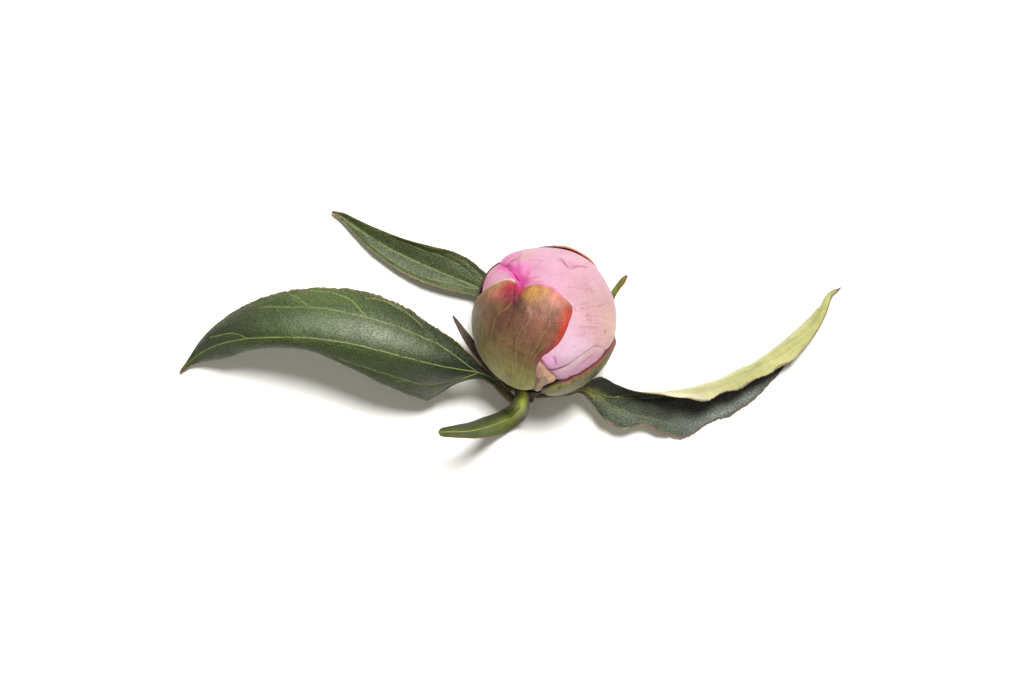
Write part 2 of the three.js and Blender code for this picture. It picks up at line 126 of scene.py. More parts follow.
def seen(red, green, blue):
    """Surface colour that looks like this 0-255 screen colour in the studio:
    ((c / 255 + 0.055) / 1.055) ^ 2.4, divided by the light."""
    screen = np.array([red, green, blue]) / 255.0
    linear = np.where(screen > 0.04, ((screen + 0.055) / 1.055) ** 2.4, screen / 12.92)
    return np.clip(linear / STUDIO_LIGHT, 0.004, 0.86)


def mix(one, other, amount):
    """Straight blend: one + (other - one) * amount, for each point."""
    amount = np.clip(np.asarray(amount, float), 0.0, 1.0)[..., None]
    return one + (other - one) * amount


def ease(low, high, value):
    """Smooth step from 0 at low to 1 at high: 3u^2 - 2u^3. Works downwards too."""
    u = np.clip((value - low) / (high - low), 0.0, 1.0)
    return u * u * (3.0 - 2.0 * u)


print("white looks like", seen(255, 255, 255).round(2))

# %% [markdown]
# ## Uneven shapes that never change
#
# Plants are never even. A sum of plane waves in random directions gives a
# soft unevenness at every point of space; a fixed seed makes it the same on
# each run. It needs no loop: one matrix product gives all waves at once.

# %% Ripple
def ripple(points, size, seed, waves=14):
    """Sum of sin(k . p + phase) over random ways k, each about `size` long,
    divided by the square root of their number: about -1 to 1."""
    rng = np.random.default_rng(seed)
    ways = rng.normal(size=(waves, points.shape[-1]))
    ways /= np.linalg.norm(ways, axis=1, keepdims=True)
    ways *= 2.0 * np.pi / size * rng.uniform(0.6, 1.5, (waves, 1))
    return np.sin(points @ ways.T + rng.uniform(0.0, 6.28, waves)).sum(-1) / np.sqrt(waves)


def wobble(t, count, seed):
    """The same along a line: about `count` waves from t = 0 to t = 1."""
    return ripple(np.asarray(t)[..., None], 1.0 / count, seed, 9)


print("ripple at three points:", ripple(np.eye(3), 2.0, 1).round(2))

# %% [markdown]
# ## From a grid of points to a piece
#
# Each blade, petal and sepal is a sheet with a thickness: one grid of
# points for its face, one for its back, and a strip round the rim that
# closes them. Solidify could thicken a single grid, but a rim that thins
# out towards its edge, as on a petal, is easier with two grids.
#
# A piece also carries a painted colour for each point and a flat map of
# itself (UV), which its material reads.

# %% Make a piece
def make_piece(name, points, faces, tint, flat_map, node, skins):
    """Puts arrays into a mesh: points in mm, faces by index, one colour and
    one flat place for each point; the faces are turned outwards. A fourth
    value of the colour is a share: how much a petal's fine veins show, or
    how much a leaf shines."""
    volume = 0.0
    for group in faces:
        for corners in ((0, 1, 2), (0, 2, 3))[: group.shape[1] - 2]:
            a, b, c = (points[group[:, k]] for k in corners)
            volume += np.einsum("ij,ij->i", a, np.cross(b, c)).sum()
    if volume < 0:
        faces = [group[:, ::-1] for group in faces]
    mesh = bpy.data.meshes.new(name)
    mesh.from_pydata((points * MM).tolist(), [], [f for g in faces for f in g.tolist()])
    mesh.polygons.foreach_set("use_smooth", np.ones(len(mesh.polygons), bool))
    colour = mesh.attributes.new("tint", "FLOAT_COLOR", "POINT")
    rgba = np.concatenate([tint, np.ones((len(points), 1))], axis=1)[:, :4].clip(0.0, 1.0)
    colour.data.foreach_set("color", rgba.astype(np.float32).ravel())
    corner = np.empty(len(mesh.loops), np.int32)
    mesh.loops.foreach_get("vertex_index", corner)
    uv = mesh.uv_layers.new(name="UVMap")
    uv.data.foreach_set("uv", flat_map[corner].astype(np.float32).ravel())
    mesh.update()
    for skin_name in skins:
        mesh.materials.append(SKINS[skin_name])
    piece = bpy.data.objects.new(name, mesh)
    scene.collection.objects.link(piece)
    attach(piece, "root")
    if node:
        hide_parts(node)
    return piece


def grid_faces(index):
    """Quads between the neighbours in a grid of point numbers."""
    quads = np.stack([index[:-1, :-1], index[:-1, 1:], index[1:, 1:], index[1:, :-1]], -1)
    return quads.reshape(-1, 4)


def sheet_faces(rows, columns, ring=False):
    """Faces of two grids of rows x columns points, the second behind the
    first, and of the strip between their rims. With ring=True the columns
    meet, row 0 is open for a centre fan, and only the last row has a rim."""
    half = rows * columns
    index = np.arange(half).reshape(rows, columns)
    if ring:
        index = np.concatenate([index, index[:, :1]], axis=1)
        rim = index[-1][::-1]
    else:
        rim = np.concatenate([index[0], index[1:, -1], index[-1, -2::-1], index[-2:0:-1, 0],
                              index[0, :1]])
    front = grid_faces(index)
    strip = np.stack([rim[:-1], rim[:-1] + half, rim[1:] + half, rim[1:]], -1)
    return np.concatenate([front, front[:, ::-1] + half, strip])


def fan(middle, first, count):
    """Triangles from one point to a closed ring of `count` points."""
    ring = np.arange(count) + first
    return np.stack([np.full(count, middle), np.roll(ring, -1), ring], -1)


def other_way(triangles):
    """The same triangles, facing the other way."""
    return triangles[:, [0, 2, 1]]


def turned_faces(rows, columns):
    """Quads of one grid that goes right round, and a fan at each end; the two
    end points come after those of the grid."""
    count = rows * columns
    quads = sheet_faces(rows, columns, ring=True)[: count - columns]
    low, high = fan(count, 0, columns), fan(count + 1, count - columns, columns)
    return [quads, np.concatenate([low, other_way(high)])]


print("a 3 x 4 sheet has", len(sheet_faces(3, 4)), "faces")

# %% [markdown]
# ## Skins: shader groups
#
# All skins share two effects: streaks that run along a petal or sepal, and
# the fine cells of a leaf. Each effect is a node group, built once, with
# its own sockets. A group gives out a mask and a height; the material adds
# the painted colour and does the shading itself.

# %% Node helpers
def set_input(tree, socket, value):
    """Links an input to another socket, or gives it a plain value."""
    if isinstance(value, bpy.types.NodeSocket):
        tree.links.new(value, socket)
    else:
        socket.default_value = value


def add_node(tree, kind, **values):
    """A node with its properties and named inputs set, in the order given."""
    node = tree.nodes.new(kind)
    for key, value in values.items():
        if key in node.inputs:
            set_input(tree, node.inputs[key], value)
        else:
            setattr(node, key, value)
    return node


def new_group(name, inputs, outputs):
    """An empty shader group with float and vector sockets."""
    group = bpy.data.node_groups.new(name, "ShaderNodeTree")
    for label, value in inputs.items():
        kind = "NodeSocketVector" if value is None else "NodeSocketFloat"
        socket = group.interface.new_socket(name=label, in_out="INPUT", socket_type=kind)
        if value is not None:
            socket.default_value = value
    for label in outputs:
        group.interface.new_socket(name=label, in_out="OUTPUT", socket_type="NodeSocketFloat")
    return group, group.nodes.new("NodeGroupInput"), group.nodes.new("NodeGroupOutput")


def remap(tree, value, low, high, to_low=0.0, to_high=1.0):
    """Map Range node on a socket; returns its result socket."""
    node = add_node(tree, "ShaderNodeMapRange", Value=value)
    for key, number in zip(("From Min", "From Max", "To Min", "To Max"),
                           (low, high, to_low, to_high)):
        node.inputs[key].default_value = number
    return node.outputs["Result"]


def calculate(tree, operation, *values, kind="ShaderNodeMath"):
    """Math node, or its vector kind, on sockets or plain values."""
    node = add_node(tree, kind, operation=operation)
    for socket, value in zip(node.inputs, values):
        set_input(tree, socket, value)
    return node.outputs[0]


def noise(tree, place, low, high, **values):
    """Noise at a place, with low to high stretched to 0 to 1."""
    node = add_node(tree, "ShaderNodeTexNoise", Vector=place, **values)
    return remap(tree, node.outputs["Fac"], low, high)


def blend_colours(tree, amount, one, other):
    """Mix node from one colour to the other; returns its colour socket."""
    node = add_node(tree, "ShaderNodeMix", data_type="RGBA")
    for k, value in ((0, amount), (6, one), (7, other)):        # its sockets for colours
        set_input(tree, node.inputs[k], value)
    return node.outputs[2]


# %% [markdown]
# ### Streaks
#
# Petals and sepals show fine lines from their base to their edge. Noise
# that is squeezed across and stretched along the flat map gives lines that
# start, swell and fade. A second, rounder noise gives the small speckles.
# The fine veins of an old petal run the other way, round the bud: they are
# where a third noise, stretched round the bud, passes its middle value.

# %% Streak group
def build_streaks():
    """Masks for streaks, speckles and veins, and a height from the first two."""
    group, inside, outside = new_group(
        "streaks_and_speckles",
        {"Map": None, "Place": None, "Across": 120.0, "Along": 5.0, "Speckle": 1600.0},
        ("Streak", "Speckle", "Veins", "Height"))
    given = inside.outputs
    split = add_node(group, "ShaderNodeSeparateXYZ", Vector=given["Map"])
    squeeze = add_node(group, "ShaderNodeCombineXYZ",
                       X=calculate(group, "MULTIPLY", split.outputs[0], given["Across"]),
                       Y=calculate(group, "MULTIPLY", split.outputs[1], given["Along"]))
    streak = noise(group, squeeze.outputs[0], 0.34, 0.66, Scale=1.0, Detail=4.0, Roughness=0.62,
                   Distortion=0.25)
    speckle = noise(group, given["Place"], 0.36, 0.64, Scale=given["Speckle"], Detail=2.0,
                    Roughness=0.6)
    flatten = calculate(group, "MULTIPLY", given["Map"], (9.0, 26.0, 1.0),
                        kind="ShaderNodeVectorMath")
    level = add_node(group, "ShaderNodeTexNoise", Vector=flatten, Scale=1.0, Detail=2.5,
                     Roughness=0.55, Distortion=0.6)
    away = calculate(group, "ABSOLUTE", calculate(group, "SUBTRACT", level.outputs["Fac"], 0.5))
    height = calculate(group, "ADD", calculate(group, "MULTIPLY", streak, 0.6),
                       calculate(group, "MULTIPLY", speckle, 0.4))
    for label, socket in (("Streak", streak), ("Speckle", speckle), ("Height", height),
                          ("Veins", remap(group, away, 0.004, 0.03, 1.0, 0.0))):
        group.links.new(socket, outside.inputs[label])
    return group


STREAKS = build_streaks()
print("streak group sockets:", [s.name for s in STREAKS.interface.items_tree])

# %% [markdown]
# ### Leaf cells
#
# Between the side veins of a leaf lies a net of the finest veins round
# small raised cells. A Voronoi texture gives both: near an edge between
# two cells lies the net, and the height is low there and gritty between.

# %% Leaf cell group
def build_cells():
    """Masks for the net and the grain, and height = 0.5 grain - 0.6 net."""
    group, inside, outside = new_group(
        "leaf_cells", {"Place": None, "Cells": 800.0, "Grain": 3200.0},
        ("Net", "Grain", "Height"))
    given = inside.outputs
    bend = add_node(group, "ShaderNodeTexNoise", Vector=given["Place"], Scale=500.0, Detail=1.0)
    shift = calculate(group, "MULTIPLY_ADD", bend.outputs["Color"], (0.0007, 0.0007, 0.0007),
                      given["Place"], kind="ShaderNodeVectorMath")
    cells = add_node(group, "ShaderNodeTexVoronoi", feature="DISTANCE_TO_EDGE", Vector=shift,
                     Scale=given["Cells"])
    net = remap(group, cells.outputs["Distance"], 0.02, 0.16, 1.0, 0.0)
    grain = noise(group, given["Place"], 0.34, 0.66, Scale=given["Grain"], Detail=2.0, Roughness=0.6)
    height = calculate(group, "ADD", calculate(group, "MULTIPLY", net, -0.6),
                       calculate(group, "MULTIPLY", grain, 0.5))
    for label, socket in (("Net", net), ("Grain", grain), ("Height", height)):
        group.links.new(socket, outside.inputs[label])
    return group


CELLS = build_cells()
print("leaf cell group sockets:", [s.name for s in CELLS.interface.items_tree])

# %% [markdown]
# ### Materials
#
# One function builds every skin: the painted colour of the piece, darker
# and lighter by the first two masks, tinted by the third as strongly as
# the paint says, and a bump from the height. Sheen and the light that
# passes through thin petals are set straight on the shader. The gloss of a
# leaf is a coat that lies in patches: the paint says where, and the grain
# breaks it up.

# %% Skin materials
def skin(name, group, settings, dark, light, masks, second, rough, bump, shader):
    """Painted colour * (dark to light by the mean of masks one and two), then
    towards the `second` colour by mask three, its amount and the painted
    share; roughness from low to high by mask two. Where the shader has a
    coat, its weight is mask two * painted share."""
    material = bpy.data.materials.new(name)
    material.use_nodes = True
    tree = material.node_tree
    place = add_node(tree, "ShaderNodeTexCoord")
    effect = add_node(tree, "ShaderNodeGroup", node_tree=group, Place=place.outputs["Object"],
                      **settings)
    if "Map" in effect.inputs:
        tree.links.new(place.outputs["UV"], effect.inputs["Map"])
    one, two, three = (effect.outputs[mask] for mask in masks)
    paint = add_node(tree, "ShaderNodeAttribute", attribute_name="tint")
    shade = remap(tree, calculate(tree, "ADD", one, two), 0.2, 1.8, dark, light)
    scaled = add_node(tree, "ShaderNodeVectorMath", operation="SCALE",
                      Vector=paint.outputs["Color"], Scale=shade)
    share = calculate(tree, "MULTIPLY", paint.outputs["Alpha"], second[3])
    colour = blend_colours(tree, calculate(tree, "MULTIPLY", three, share), scaled.outputs[0],
                           (*seen(*second[:3]), 1.0))
    relief = add_node(tree, "ShaderNodeBump", Height=effect.outputs["Height"],
                      Distance=bump * MM, Strength=1.0)
    values = {**shader, "Base Color": colour, "Roughness": remap(tree, two, 0.0, 1.0, *rough),
              "Normal": relief.outputs["Normal"]}
    if "Coat Weight" in shader:
        gloss = calculate(tree, "MULTIPLY", paint.outputs["Alpha"], shader["Coat Weight"])
        values["Coat Weight"] = calculate(tree, "MULTIPLY", two, gloss)
    for label, value in values.items():
        set_input(tree, tree.nodes["Principled BSDF"].inputs[label], value)
    return material


SKINS = {
    "petal": skin("petal_skin", STREAKS, {"Across": 150.0, "Along": 4.0, "Speckle": 1500.0},
                  dark=0.93, light=1.06, masks=("Streak", "Speckle", "Veins"),
                  second=(188, 104, 106, 0.54), rough=(0.42, 0.6), bump=0.06,
                  shader={"Subsurface Weight": 0.25, "Subsurface Scale": 0.0015,
                          "Subsurface Radius": (1.0, 0.45, 0.4), "Sheen Weight": 0.05,
                          "Specular IOR Level": 0.3}),
    "sepal": skin("sepal_skin", STREAKS, {"Across": 170.0, "Along": 9.0, "Speckle": 1700.0},
                  dark=0.66, light=1.30, masks=("Streak", "Speckle", "Speckle"),
                  second=(86, 56, 42, 0.14), rough=(0.40, 0.55), bump=0.08,
                  shader={"Subsurface Weight": 0.08, "Subsurface Scale": 0.001,
                          "Specular IOR Level": 0.25}),
    "leaf": skin("leaf_skin", CELLS, {"Cells": 900.0, "Grain": 2500.0},
                 dark=0.62, light=1.36, masks=("Grain", "Grain", "Net"),
                 second=(132, 146, 96, 0.25), rough=(0.36, 0.46), bump=0.13,
                 shader={"Coat Weight": 1.0, "Coat Roughness": 0.40, "Specular IOR Level": 0.2}),
    "under": skin("leaf_underside_skin", STREAKS, {"Across": 55.0, "Along": 5.0, "Speckle": 2600.0},
                  dark=0.88, light=1.10, masks=("Streak", "Speckle", "Streak"),
                  second=(236, 234, 200, 0.5), rough=(0.5, 0.6), bump=0.05,
                  shader={"Specular IOR Level": 0.2}),
    "vein": skin("vein_skin", CELLS, {"Cells": 1500.0, "Grain": 2600.0},
                 dark=0.90, light=1.08, masks=("Grain", "Grain", "Net"),
                 second=(200, 206, 120, 0.1), rough=(0.42, 0.5), bump=0.03,
                 shader={"Specular IOR Level": 0.3}),
    "bract": skin("bract_skin", CELLS, {"Cells": 1100.0, "Grain": 3000.0},
                  dark=0.80, light=1.16, masks=("Grain", "Grain", "Net"),
                  second=(130, 136, 76, 0.1), rough=(0.42, 0.52), bump=0.08,
                  shader={"Specular IOR Level": 0.3}),
    "stem": skin("stem_skin", STREAKS, {"Across": 60.0, "Along": 3.0, "Speckle": 1500.0},
                 dark=0.8, light=1.15, masks=("Streak", "Speckle", "Speckle"),
                 second=(70, 60, 40, 0.25), rough=(0.5, 0.65), bump=0.06,
                 shader={"Specular IOR Level": 0.15}),
}
print("skins:", list(SKINS))

# %% [markdown]
# ## Directions on the bud
#
# The bud is nearly a ball, so a place on it is a direction from its middle.
# Two angles name it, as on a globe: `polar` counts from the stem end and
# `turn` goes round the bud, with 0 facing up and 90 on the right.

# %% Globe of the bud
BUD_CENTRE = np.array([9.7, 0.4, 19.55])
REST_FLAT = 0.8

tip_way = np.array([0.25, 0.92, 0.3])
tip_way /= np.linalg.norm(tip_way)
up_way = np.array([0.0, 0.0, 1.0]) - tip_way[2] * tip_way
up_way /= np.linalg.norm(up_way)
right_way = np.cross(tip_way, up_way)


def direction(polar, turn):
    """-cos(polar) tip + sin(polar) (cos(turn) up + sin(turn) right), degrees."""
    p, t = np.radians(polar)[..., None], np.radians(turn)[..., None]
    return -np.cos(p) * tip_way + np.sin(p) * (np.cos(t) * up_way + np.sin(t) * right_way)


def angles_of(ways):
    """The polar and turn angle of each direction, in degrees."""
    polar = np.degrees(np.arccos(np.clip(-ways @ tip_way, -1.0, 1.0)))
    return polar, np.degrees(np.arctan2(ways @ right_way, ways @ up_way))


def on_bud(ways, radius):
    """Middle + way * radius, up to 6 percent longer towards the tip;
    underneath, the radius stops at the plane on which the bud is pressed
    flat."""
    radius = radius * (1.0 + 0.06 * np.maximum(ways @ tip_way, 0.0) ** 3)
    down = np.maximum(-ways[..., 2], 1e-6)
    radius = np.broadcast_to(radius, down.shape)
    pressed = np.where(down > 0.5, np.minimum(radius, (radius - REST_FLAT) / down), radius)
    return BUD_CENTRE + ways * pressed[..., None]


print("the tip points to", tip_way.round(2))

# %% [markdown]
# ## Smooth lines through a few points
#
# Outlines, midribs and veins are drawn through a few points. A Catmull-Rom
# curve passes through all of them; its centripetal kind makes no loops
# where points lie close together.

# %% Smooth lines
def smooth_line(stations, t, closed=False):
    """Centripetal Catmull-Rom: between two points a cubic whose end slopes
    come from the neighbours, each gap weighed by the root of its length."""
    points = np.asarray(stations, float)
    if closed:
        knots = np.concatenate([points[-1:], points, points[:2]])
        place = (np.asarray(t, float) % 1.0) * len(points)
        step = np.minimum(place.astype(int), len(points) - 1)
    else:
        ends = 2 * points[0] - points[1], 2 * points[-1] - points[-2]
        knots = np.concatenate([ends[:1], points, ends[1:]])
        place = np.clip(t, 0.0, 1.0) * (len(points) - 1)
        step = np.minimum(place.astype(int), len(points) - 2)
    u = (place - step)[..., None]
    p0, p1, p2, p3 = (knots[step + k] for k in range(4))

    def gap(a, b):
        return np.maximum(np.sqrt(np.linalg.norm(b - a, axis=-1, keepdims=True)), 1e-6)

    d0, d1, d2 = gap(p0, p1), gap(p1, p2), gap(p2, p3)
    m1 = ((p1 - p0) / d0 - (p2 - p0) / (d0 + d1) + (p2 - p1) / d1) * d1
    m2 = ((p2 - p1) / d1 - (p3 - p1) / (d1 + d2) + (p3 - p2) / d2) * d1
    return ((2 * u**3 - 3 * u**2 + 1) * p1 + (u**3 - 2 * u**2 + u) * m1
            + (3 * u**2 - 2 * u**3) * p2 + (u**3 - u**2) * m2)


print("half way along a bend:", smooth_line([[0, 0], [1, 2], [3, 2]], np.array(0.5)).round(2))

# %% [markdown]
# ## Brushes
#
# The colours of petals and sepals change from place to place: a green
# base, a brown middle, a red margin, a crimson crease. They are painted
# with two brushes. A dab is strongest at its middle and fades out; a
# stroke follows a line. Both work on directions, so a painted line lies on
# the bud whatever the grid is. The same strokes also press creases. Whole
# rows of dabs or strokes are laid on by the short functions below them.

# %% Brushes
SKIN_RADIUS = 19.6


def dab(ways, polar, turn, size):
    """exp(-(angle to the spot / size)^2), with size in degrees."""
    spot = direction(np.array(polar, float), np.array(turn, float))
    angle = np.degrees(np.arccos(np.clip(ways @ spot, -1.0, 1.0)))
    return np.exp(-(angle / size) ** 2)


def line_distance(places, line):
    """Distance of each place to the nearest of the line's short pieces:
    the place is dropped on each piece, clamped to its two ends."""
    start, reach = line[:-1], np.diff(line, axis=0)
    flat = places.reshape(-1, 3)
    best = np.full(len(flat), 1e9)
    along = np.zeros(len(flat))
    for k in range(len(start)):     # a few dozen pieces of line, all places at once
        u = np.clip((flat - start[k]) @ reach[k] / (reach[k] @ reach[k] + 1e-12), 0.0, 1.0)
        d = np.linalg.norm(flat - start[k] - u[:, None] * reach[k], axis=1)
        along = np.where(d < best, (k + u) / len(start), along)
        best = np.minimum(d, best)
    return best.reshape(places.shape[:-1]), along.reshape(places.shape[:-1])


def stroke(ways, path, width, fade=0.0):
    """exp(-(distance to a smooth line through polar, turn points / width)^2),
    with width in mm; fade thins it towards its two ends."""
    angles = np.asarray(path, float)
    spots = direction(angles[:, 0], angles[:, 1])
    line = smooth_line(spots, np.linspace(0.0, 1.0, 8 * len(spots)))
    line /= np.linalg.norm(line, axis=1, keepdims=True)
    away, along = line_distance(ways * SKIN_RADIUS, line * SKIN_RADIUS)
    ends = np.clip(np.minimum(along, 1.0 - along) / max(fade, 1e-6), 0.0, 1.0) if fade else 1.0
    return np.exp(-(away / width) ** 2) * ends


def dabs_up(ways, rows):
    """Sum of height * dab; a row is height, polar, turn and size."""
    return sum(height * dab(ways, polar, turn, size) for height, polar, turn, size in rows)


def strokes_up(ways, rows):
    """Sum of height * stroke; a row is height, path, width and fade."""
    return sum(height * stroke(ways, path, width, fade) for height, path, width, fade in rows)


def paint_dabs(c, ways, rows):
    """Blends dabs in, one after the other; a row is red, green, blue and
    amount, then polar, turn and size."""
    for red, green, blue, amount, polar, turn, size in rows:
        c = mix(c, seen(red, green, blue), amount * dab(ways, polar, turn, size))
    return c


def paint_strokes(c, ways, rows):
    """The same with strokes: red, green, blue and amount, then path, width
    and fade."""
    for red, green, blue, amount, path, width, fade in rows:
        c = mix(c, seen(red, green, blue), amount * stroke(ways, path, width, fade))
    return c


def uneven(c, ways, *rows):
    """c * (1 + sum of amount * ripple); a row is amount, size and seed."""
    shade = sum(amount * ripple(ways, size, seed) for amount, size, seed in rows)
    return c * (1.0 + shade)[:, None]


def with_share(c, share):
    """Adds the share, one value or one for each point, as a fourth value."""
    return np.concatenate([c, np.broadcast_to(share, len(c))[:, None]], 1)


print("a dab 10 degrees wide, 5 degrees off:",
      dab(direction(np.array([50.0]), np.array([5.0])), 50, 0, 10).round(2))

# %% [markdown]
# ## Petals and sepals as shells
#
# A petal lies round the ball like a piece of peel. Its edge is a closed
# line on the globe, and the grid runs from its middle out to that edge in
# rings. Rings crowd near the edge, where the shell thins out to a lip that
# sinks to the layer below. Folds and creases are added to the radius.

# %% Shell pieces
def make_shell(name, middle, outline, radius, thick, lip, rings, spokes, relief, paint,
               node, slot):
    """ways: from the middle to the edge, spread as 1 - (1 - k/n)^1.5.
    outer radius = radius + relief + thick * fullness - lip * sink, inner =
    radius + relief - lip * sink, fullness falls to a fifth at the edge."""
    outline = np.asarray(outline, float)
    loop = smooth_line(direction(outline[:, 0], outline[:, 1]),
                       np.arange(spokes) / spokes, closed=True)
    loop /= np.linalg.norm(loop, axis=1, keepdims=True)
    centre = direction(np.array([middle[0]], float), np.array([middle[1]], float))
    angle = np.arccos(np.clip(loop @ centre[0], -1.0, 1.0))
    f = 1.0 - (1.0 - np.arange(1, rings + 1) / rings) ** 1.5
    a, b = np.sin((1.0 - f)[:, None] * angle), np.sin(f[:, None] * angle)
    ways = a[..., None] * centre[0] + b[..., None] * loop
    ways /= np.linalg.norm(ways, axis=-1, keepdims=True)
    edge = ((1.0 - f)[:, None] * angle * radius).ravel()      # mm to the edge
    edge = np.concatenate([[edge.max()], edge])
    ways = np.concatenate([centre, ways.reshape(-1, 3)])
    polar, turn = angles_of(ways)
    lift = relief(ways, polar, turn, edge)
    full = 0.22 + 0.78 * ease(0.0, 1.6, edge)
    sink = 1.0 - ease(0.0, 2.4, edge)
    outer = on_bud(ways, radius + lift + thick * full - lip * sink)
    inner = on_bud(ways, radius + lift - lip * sink)
    tint = paint(ways, polar, turn, edge)
    faces = sheet_faces(rings, spokes, ring=True)
    faces = np.where(faces < rings * spokes, faces + 1, faces + 2)
    caps = fan(0, 1, spokes)
    caps = np.concatenate([caps, other_way(caps) + 1 + rings * spokes])
    flat_map = np.stack([(turn - middle[1] + 180.0) % 360.0 / 360.0, polar / 180.0], -1)
    make_piece(name, np.concatenate([outer, inner]), [faces, caps], np.concatenate([tint, tint]),
               np.concatenate([flat_map, flat_map]), node, [slot])
    print(name, "-", len(outer) * 2, "points,", round(edge.max(), 1), "mm from middle to edge")


# %% [markdown]
# ## The closed heart
#
# Inside the bud the petals are packed into a ball and step over one
# another in a spiral towards the tip. Little of it shows, so one ball with
# a stepped radius stands for them: a saw-tooth that runs round and up, and
# a deeper pink in the groove behind each step.

# %% Heart
HEART_RADIUS = 17.25
HEART_STEP = 0.62
HEART_POLES = HEART_RADIUS - 0.55


def make_heart(rows=120, columns=240):
    """radius = heart - 0.62 sin(polar) * step * (1 - groove), where step is
    the fraction of turn / 72 + polar / 60; a fan closes both poles."""
    polar = np.linspace(0.0, 180.0, rows + 1)[1:-1]
    turn = np.arange(columns) * 360.0 / columns - 180.0
    ways = direction(*np.meshgrid(polar, turn, indexing="ij"))
    step = (turn[None] / 72.0 + polar[:, None] / 60.0) % 1.0
    groove = ease(0.86, 1.0, step)
    radius = HEART_RADIUS - HEART_STEP * np.sin(np.radians(polar))[:, None] * step * (1 - groove)
    points = on_bud(ways, radius).reshape(-1, 3)
    poles = on_bud(np.stack([-tip_way, tip_way]), HEART_POLES)
    tint = mix(seen(240, 178, 208), seen(205, 84, 142), 0.25 * step + 0.75 * groove).reshape(-1, 3)
    tint = np.concatenate([tint, np.tile(seen(238, 180, 205), (2, 1))])
    flat = np.stack(np.meshgrid(turn / 360.0 + 0.5, polar / 180.0, indexing="xy"), -1)
    flat = np.concatenate([flat.reshape(-1, 2), [[0.5, 0.0], [0.5, 1.0]]])
    return make_piece("closed_heart", np.concatenate([points, poles]),
                      turned_faces(len(polar), columns), tint, flat, "petal_heart", ["petal"])


print("heart faces:", len(make_heart().data.polygons))

# %% [markdown]
# ## Guard petal and inner petals
#
# The guard petal is the pale pink one that wraps the right side and the
# top. It is the bud's smoothest surface, yet never plain: it is rosy at
# the crease on the left, lilac low down, creamy on the right, and it
# carries a few pressed creases. The lobe at its lower end folds under
# itself. On the left a second petal is crumpled towards the notch of the
# front sepal, where all the folds run together.

# %% Petal outlines
GUARD_PETAL = [
    (66, 18), (70, 23.5), (77, 30), (83, 37), (88, 44), (90, 50), (86, 60), (83, 74),
    (91, 94), (102, 114), (118, 134), (132, 150), (142, 172), (144, -158), (138, -132),
    (128, -116), (123, -103), (128, -88), (132, -76), (134, -64), (133, -52), (131, -42),
    (126, -36), (121, -28), (114, -8), (112, 8), (100, 10), (88, 4), (76, -1), (71, 5),
    (67, 9.5), (65, 14)]
LEFT_PETAL = [
    (118, -22), (132, -26), (144, -40), (150, -70), (150, -105), (142, -135), (124, -146),
    (100, -147), (80, -138), (72, -116), (80, -88), (94, -64), (106, -40)]
LOWER_PETAL = [
    (45, 35), (49.5, 27), (58, 21), (64, 14), (69, 8), (74, 3), (86, 12), (98, 30),
    (106, 55), (108, 80), (100, 100), (84, 112), (66, 110), (52, 98), (44, 78), (44, 56),
    (49, 42)]
UNDER_PETAL = [
    (36, 170), (44, 138), (62, 126), (84, 124), (106, 118), (130, 120), (150, 140),
    (158, 175), (150, -155), (130, -154), (106, -155), (84, -146), (62, -142), (44, -150)]

Y_CREASES = [[(166, -2), (162, 8), (157, 17)], [(157, 17), (161, 47), (156, 76)]]
FAN_FOLDS = [[(130, -36), (137, -36), (146, -45)], [(131, -35), (137, -29), (142, -21)],
             [(130, -39), (132, -53), (132, -63)], [(130, -42), (134, -66), (140, -81)],
             [(131, -35), (134, -25), (138, -10)]]
TIP_FOLD = [(146, -100), (144, -78), (139, -58), (133, -42)]
TIP_LINE = [(149, -57), (153, -53), (156, -40)]
SIDE_FOLD = [(124, -88), (130, -79), (137, -76), (144, -78)]
MAGENTA_CREASE = [(121, -104), (124, -100), (128, -88), (132, -76), (134, -64), (133, -52),
                  (131, -42), (125, -36)]
LOBE_FOLD = [(65, 13), (68, 17), (71, 22), (76, 28), (82, 33), (88, 41)]
LOBE_PLEAT = [(82, 13), (77, 16), (72, 19)]
LOBE_LIGHT = [(77, 30), (83, 37), (90, 45), (96, 52)]
LOWER_PLEAT = [(70, 36), (76, 41), (82, 48), (87, 57)]
LOWER_LIGHT = [(70, 27), (77, 33), (84, 40), (91, 48), (97, 58)]
LOWER_FLUSH = [(62, 33), (68, 37), (75, 44), (82, 53), (88, 66)]


# %% Petal relief and paint
def guard_relief(ways, polar, turn, edge):
    """A broad swell on the right, faint waves, softer swells, the pressed
    creases with their raised sides, and folds that run to the notch."""
    swell = 0.62 * np.exp(-((turn - 84) / 34) ** 2 - ((polar - 112) / 32) ** 2)
    waves = 0.10 * ripple(ways, 0.9, 3) + 0.03 * ripple(ways, 0.25, 4)
    soft = dabs_up(ways, [
        (0.45, 150, 125, 20), (0.3, 128, -36, 7), (1.45, 130, -106, 15), (-0.3, 88, 61, 9),
        (0.5, 145, -118, 14), (0.4, 163, 175, 17), (0.5, 138, -74, 7), (0.3, 137, -48, 5),
        (0.35, 73, 13, 8), (0.25, 82, 24, 10)])
    creases = [(-0.16, path, 0.35, 0.2) for path in Y_CREASES]
    creases += [(0.10, path, 1.1, 0.2) for path in Y_CREASES]
    creases += [(0.30, path, 0.8, 0.3) for path in FAN_FOLDS]
    creases += [(-0.12, TIP_FOLD, 0.5, 0.2), (-0.28, SIDE_FOLD, 0.5, 0.2),
                (-0.2, LOBE_PLEAT, 0.4, 0.3)]
    return swell + waves + soft + strokes_up(ways, creases)


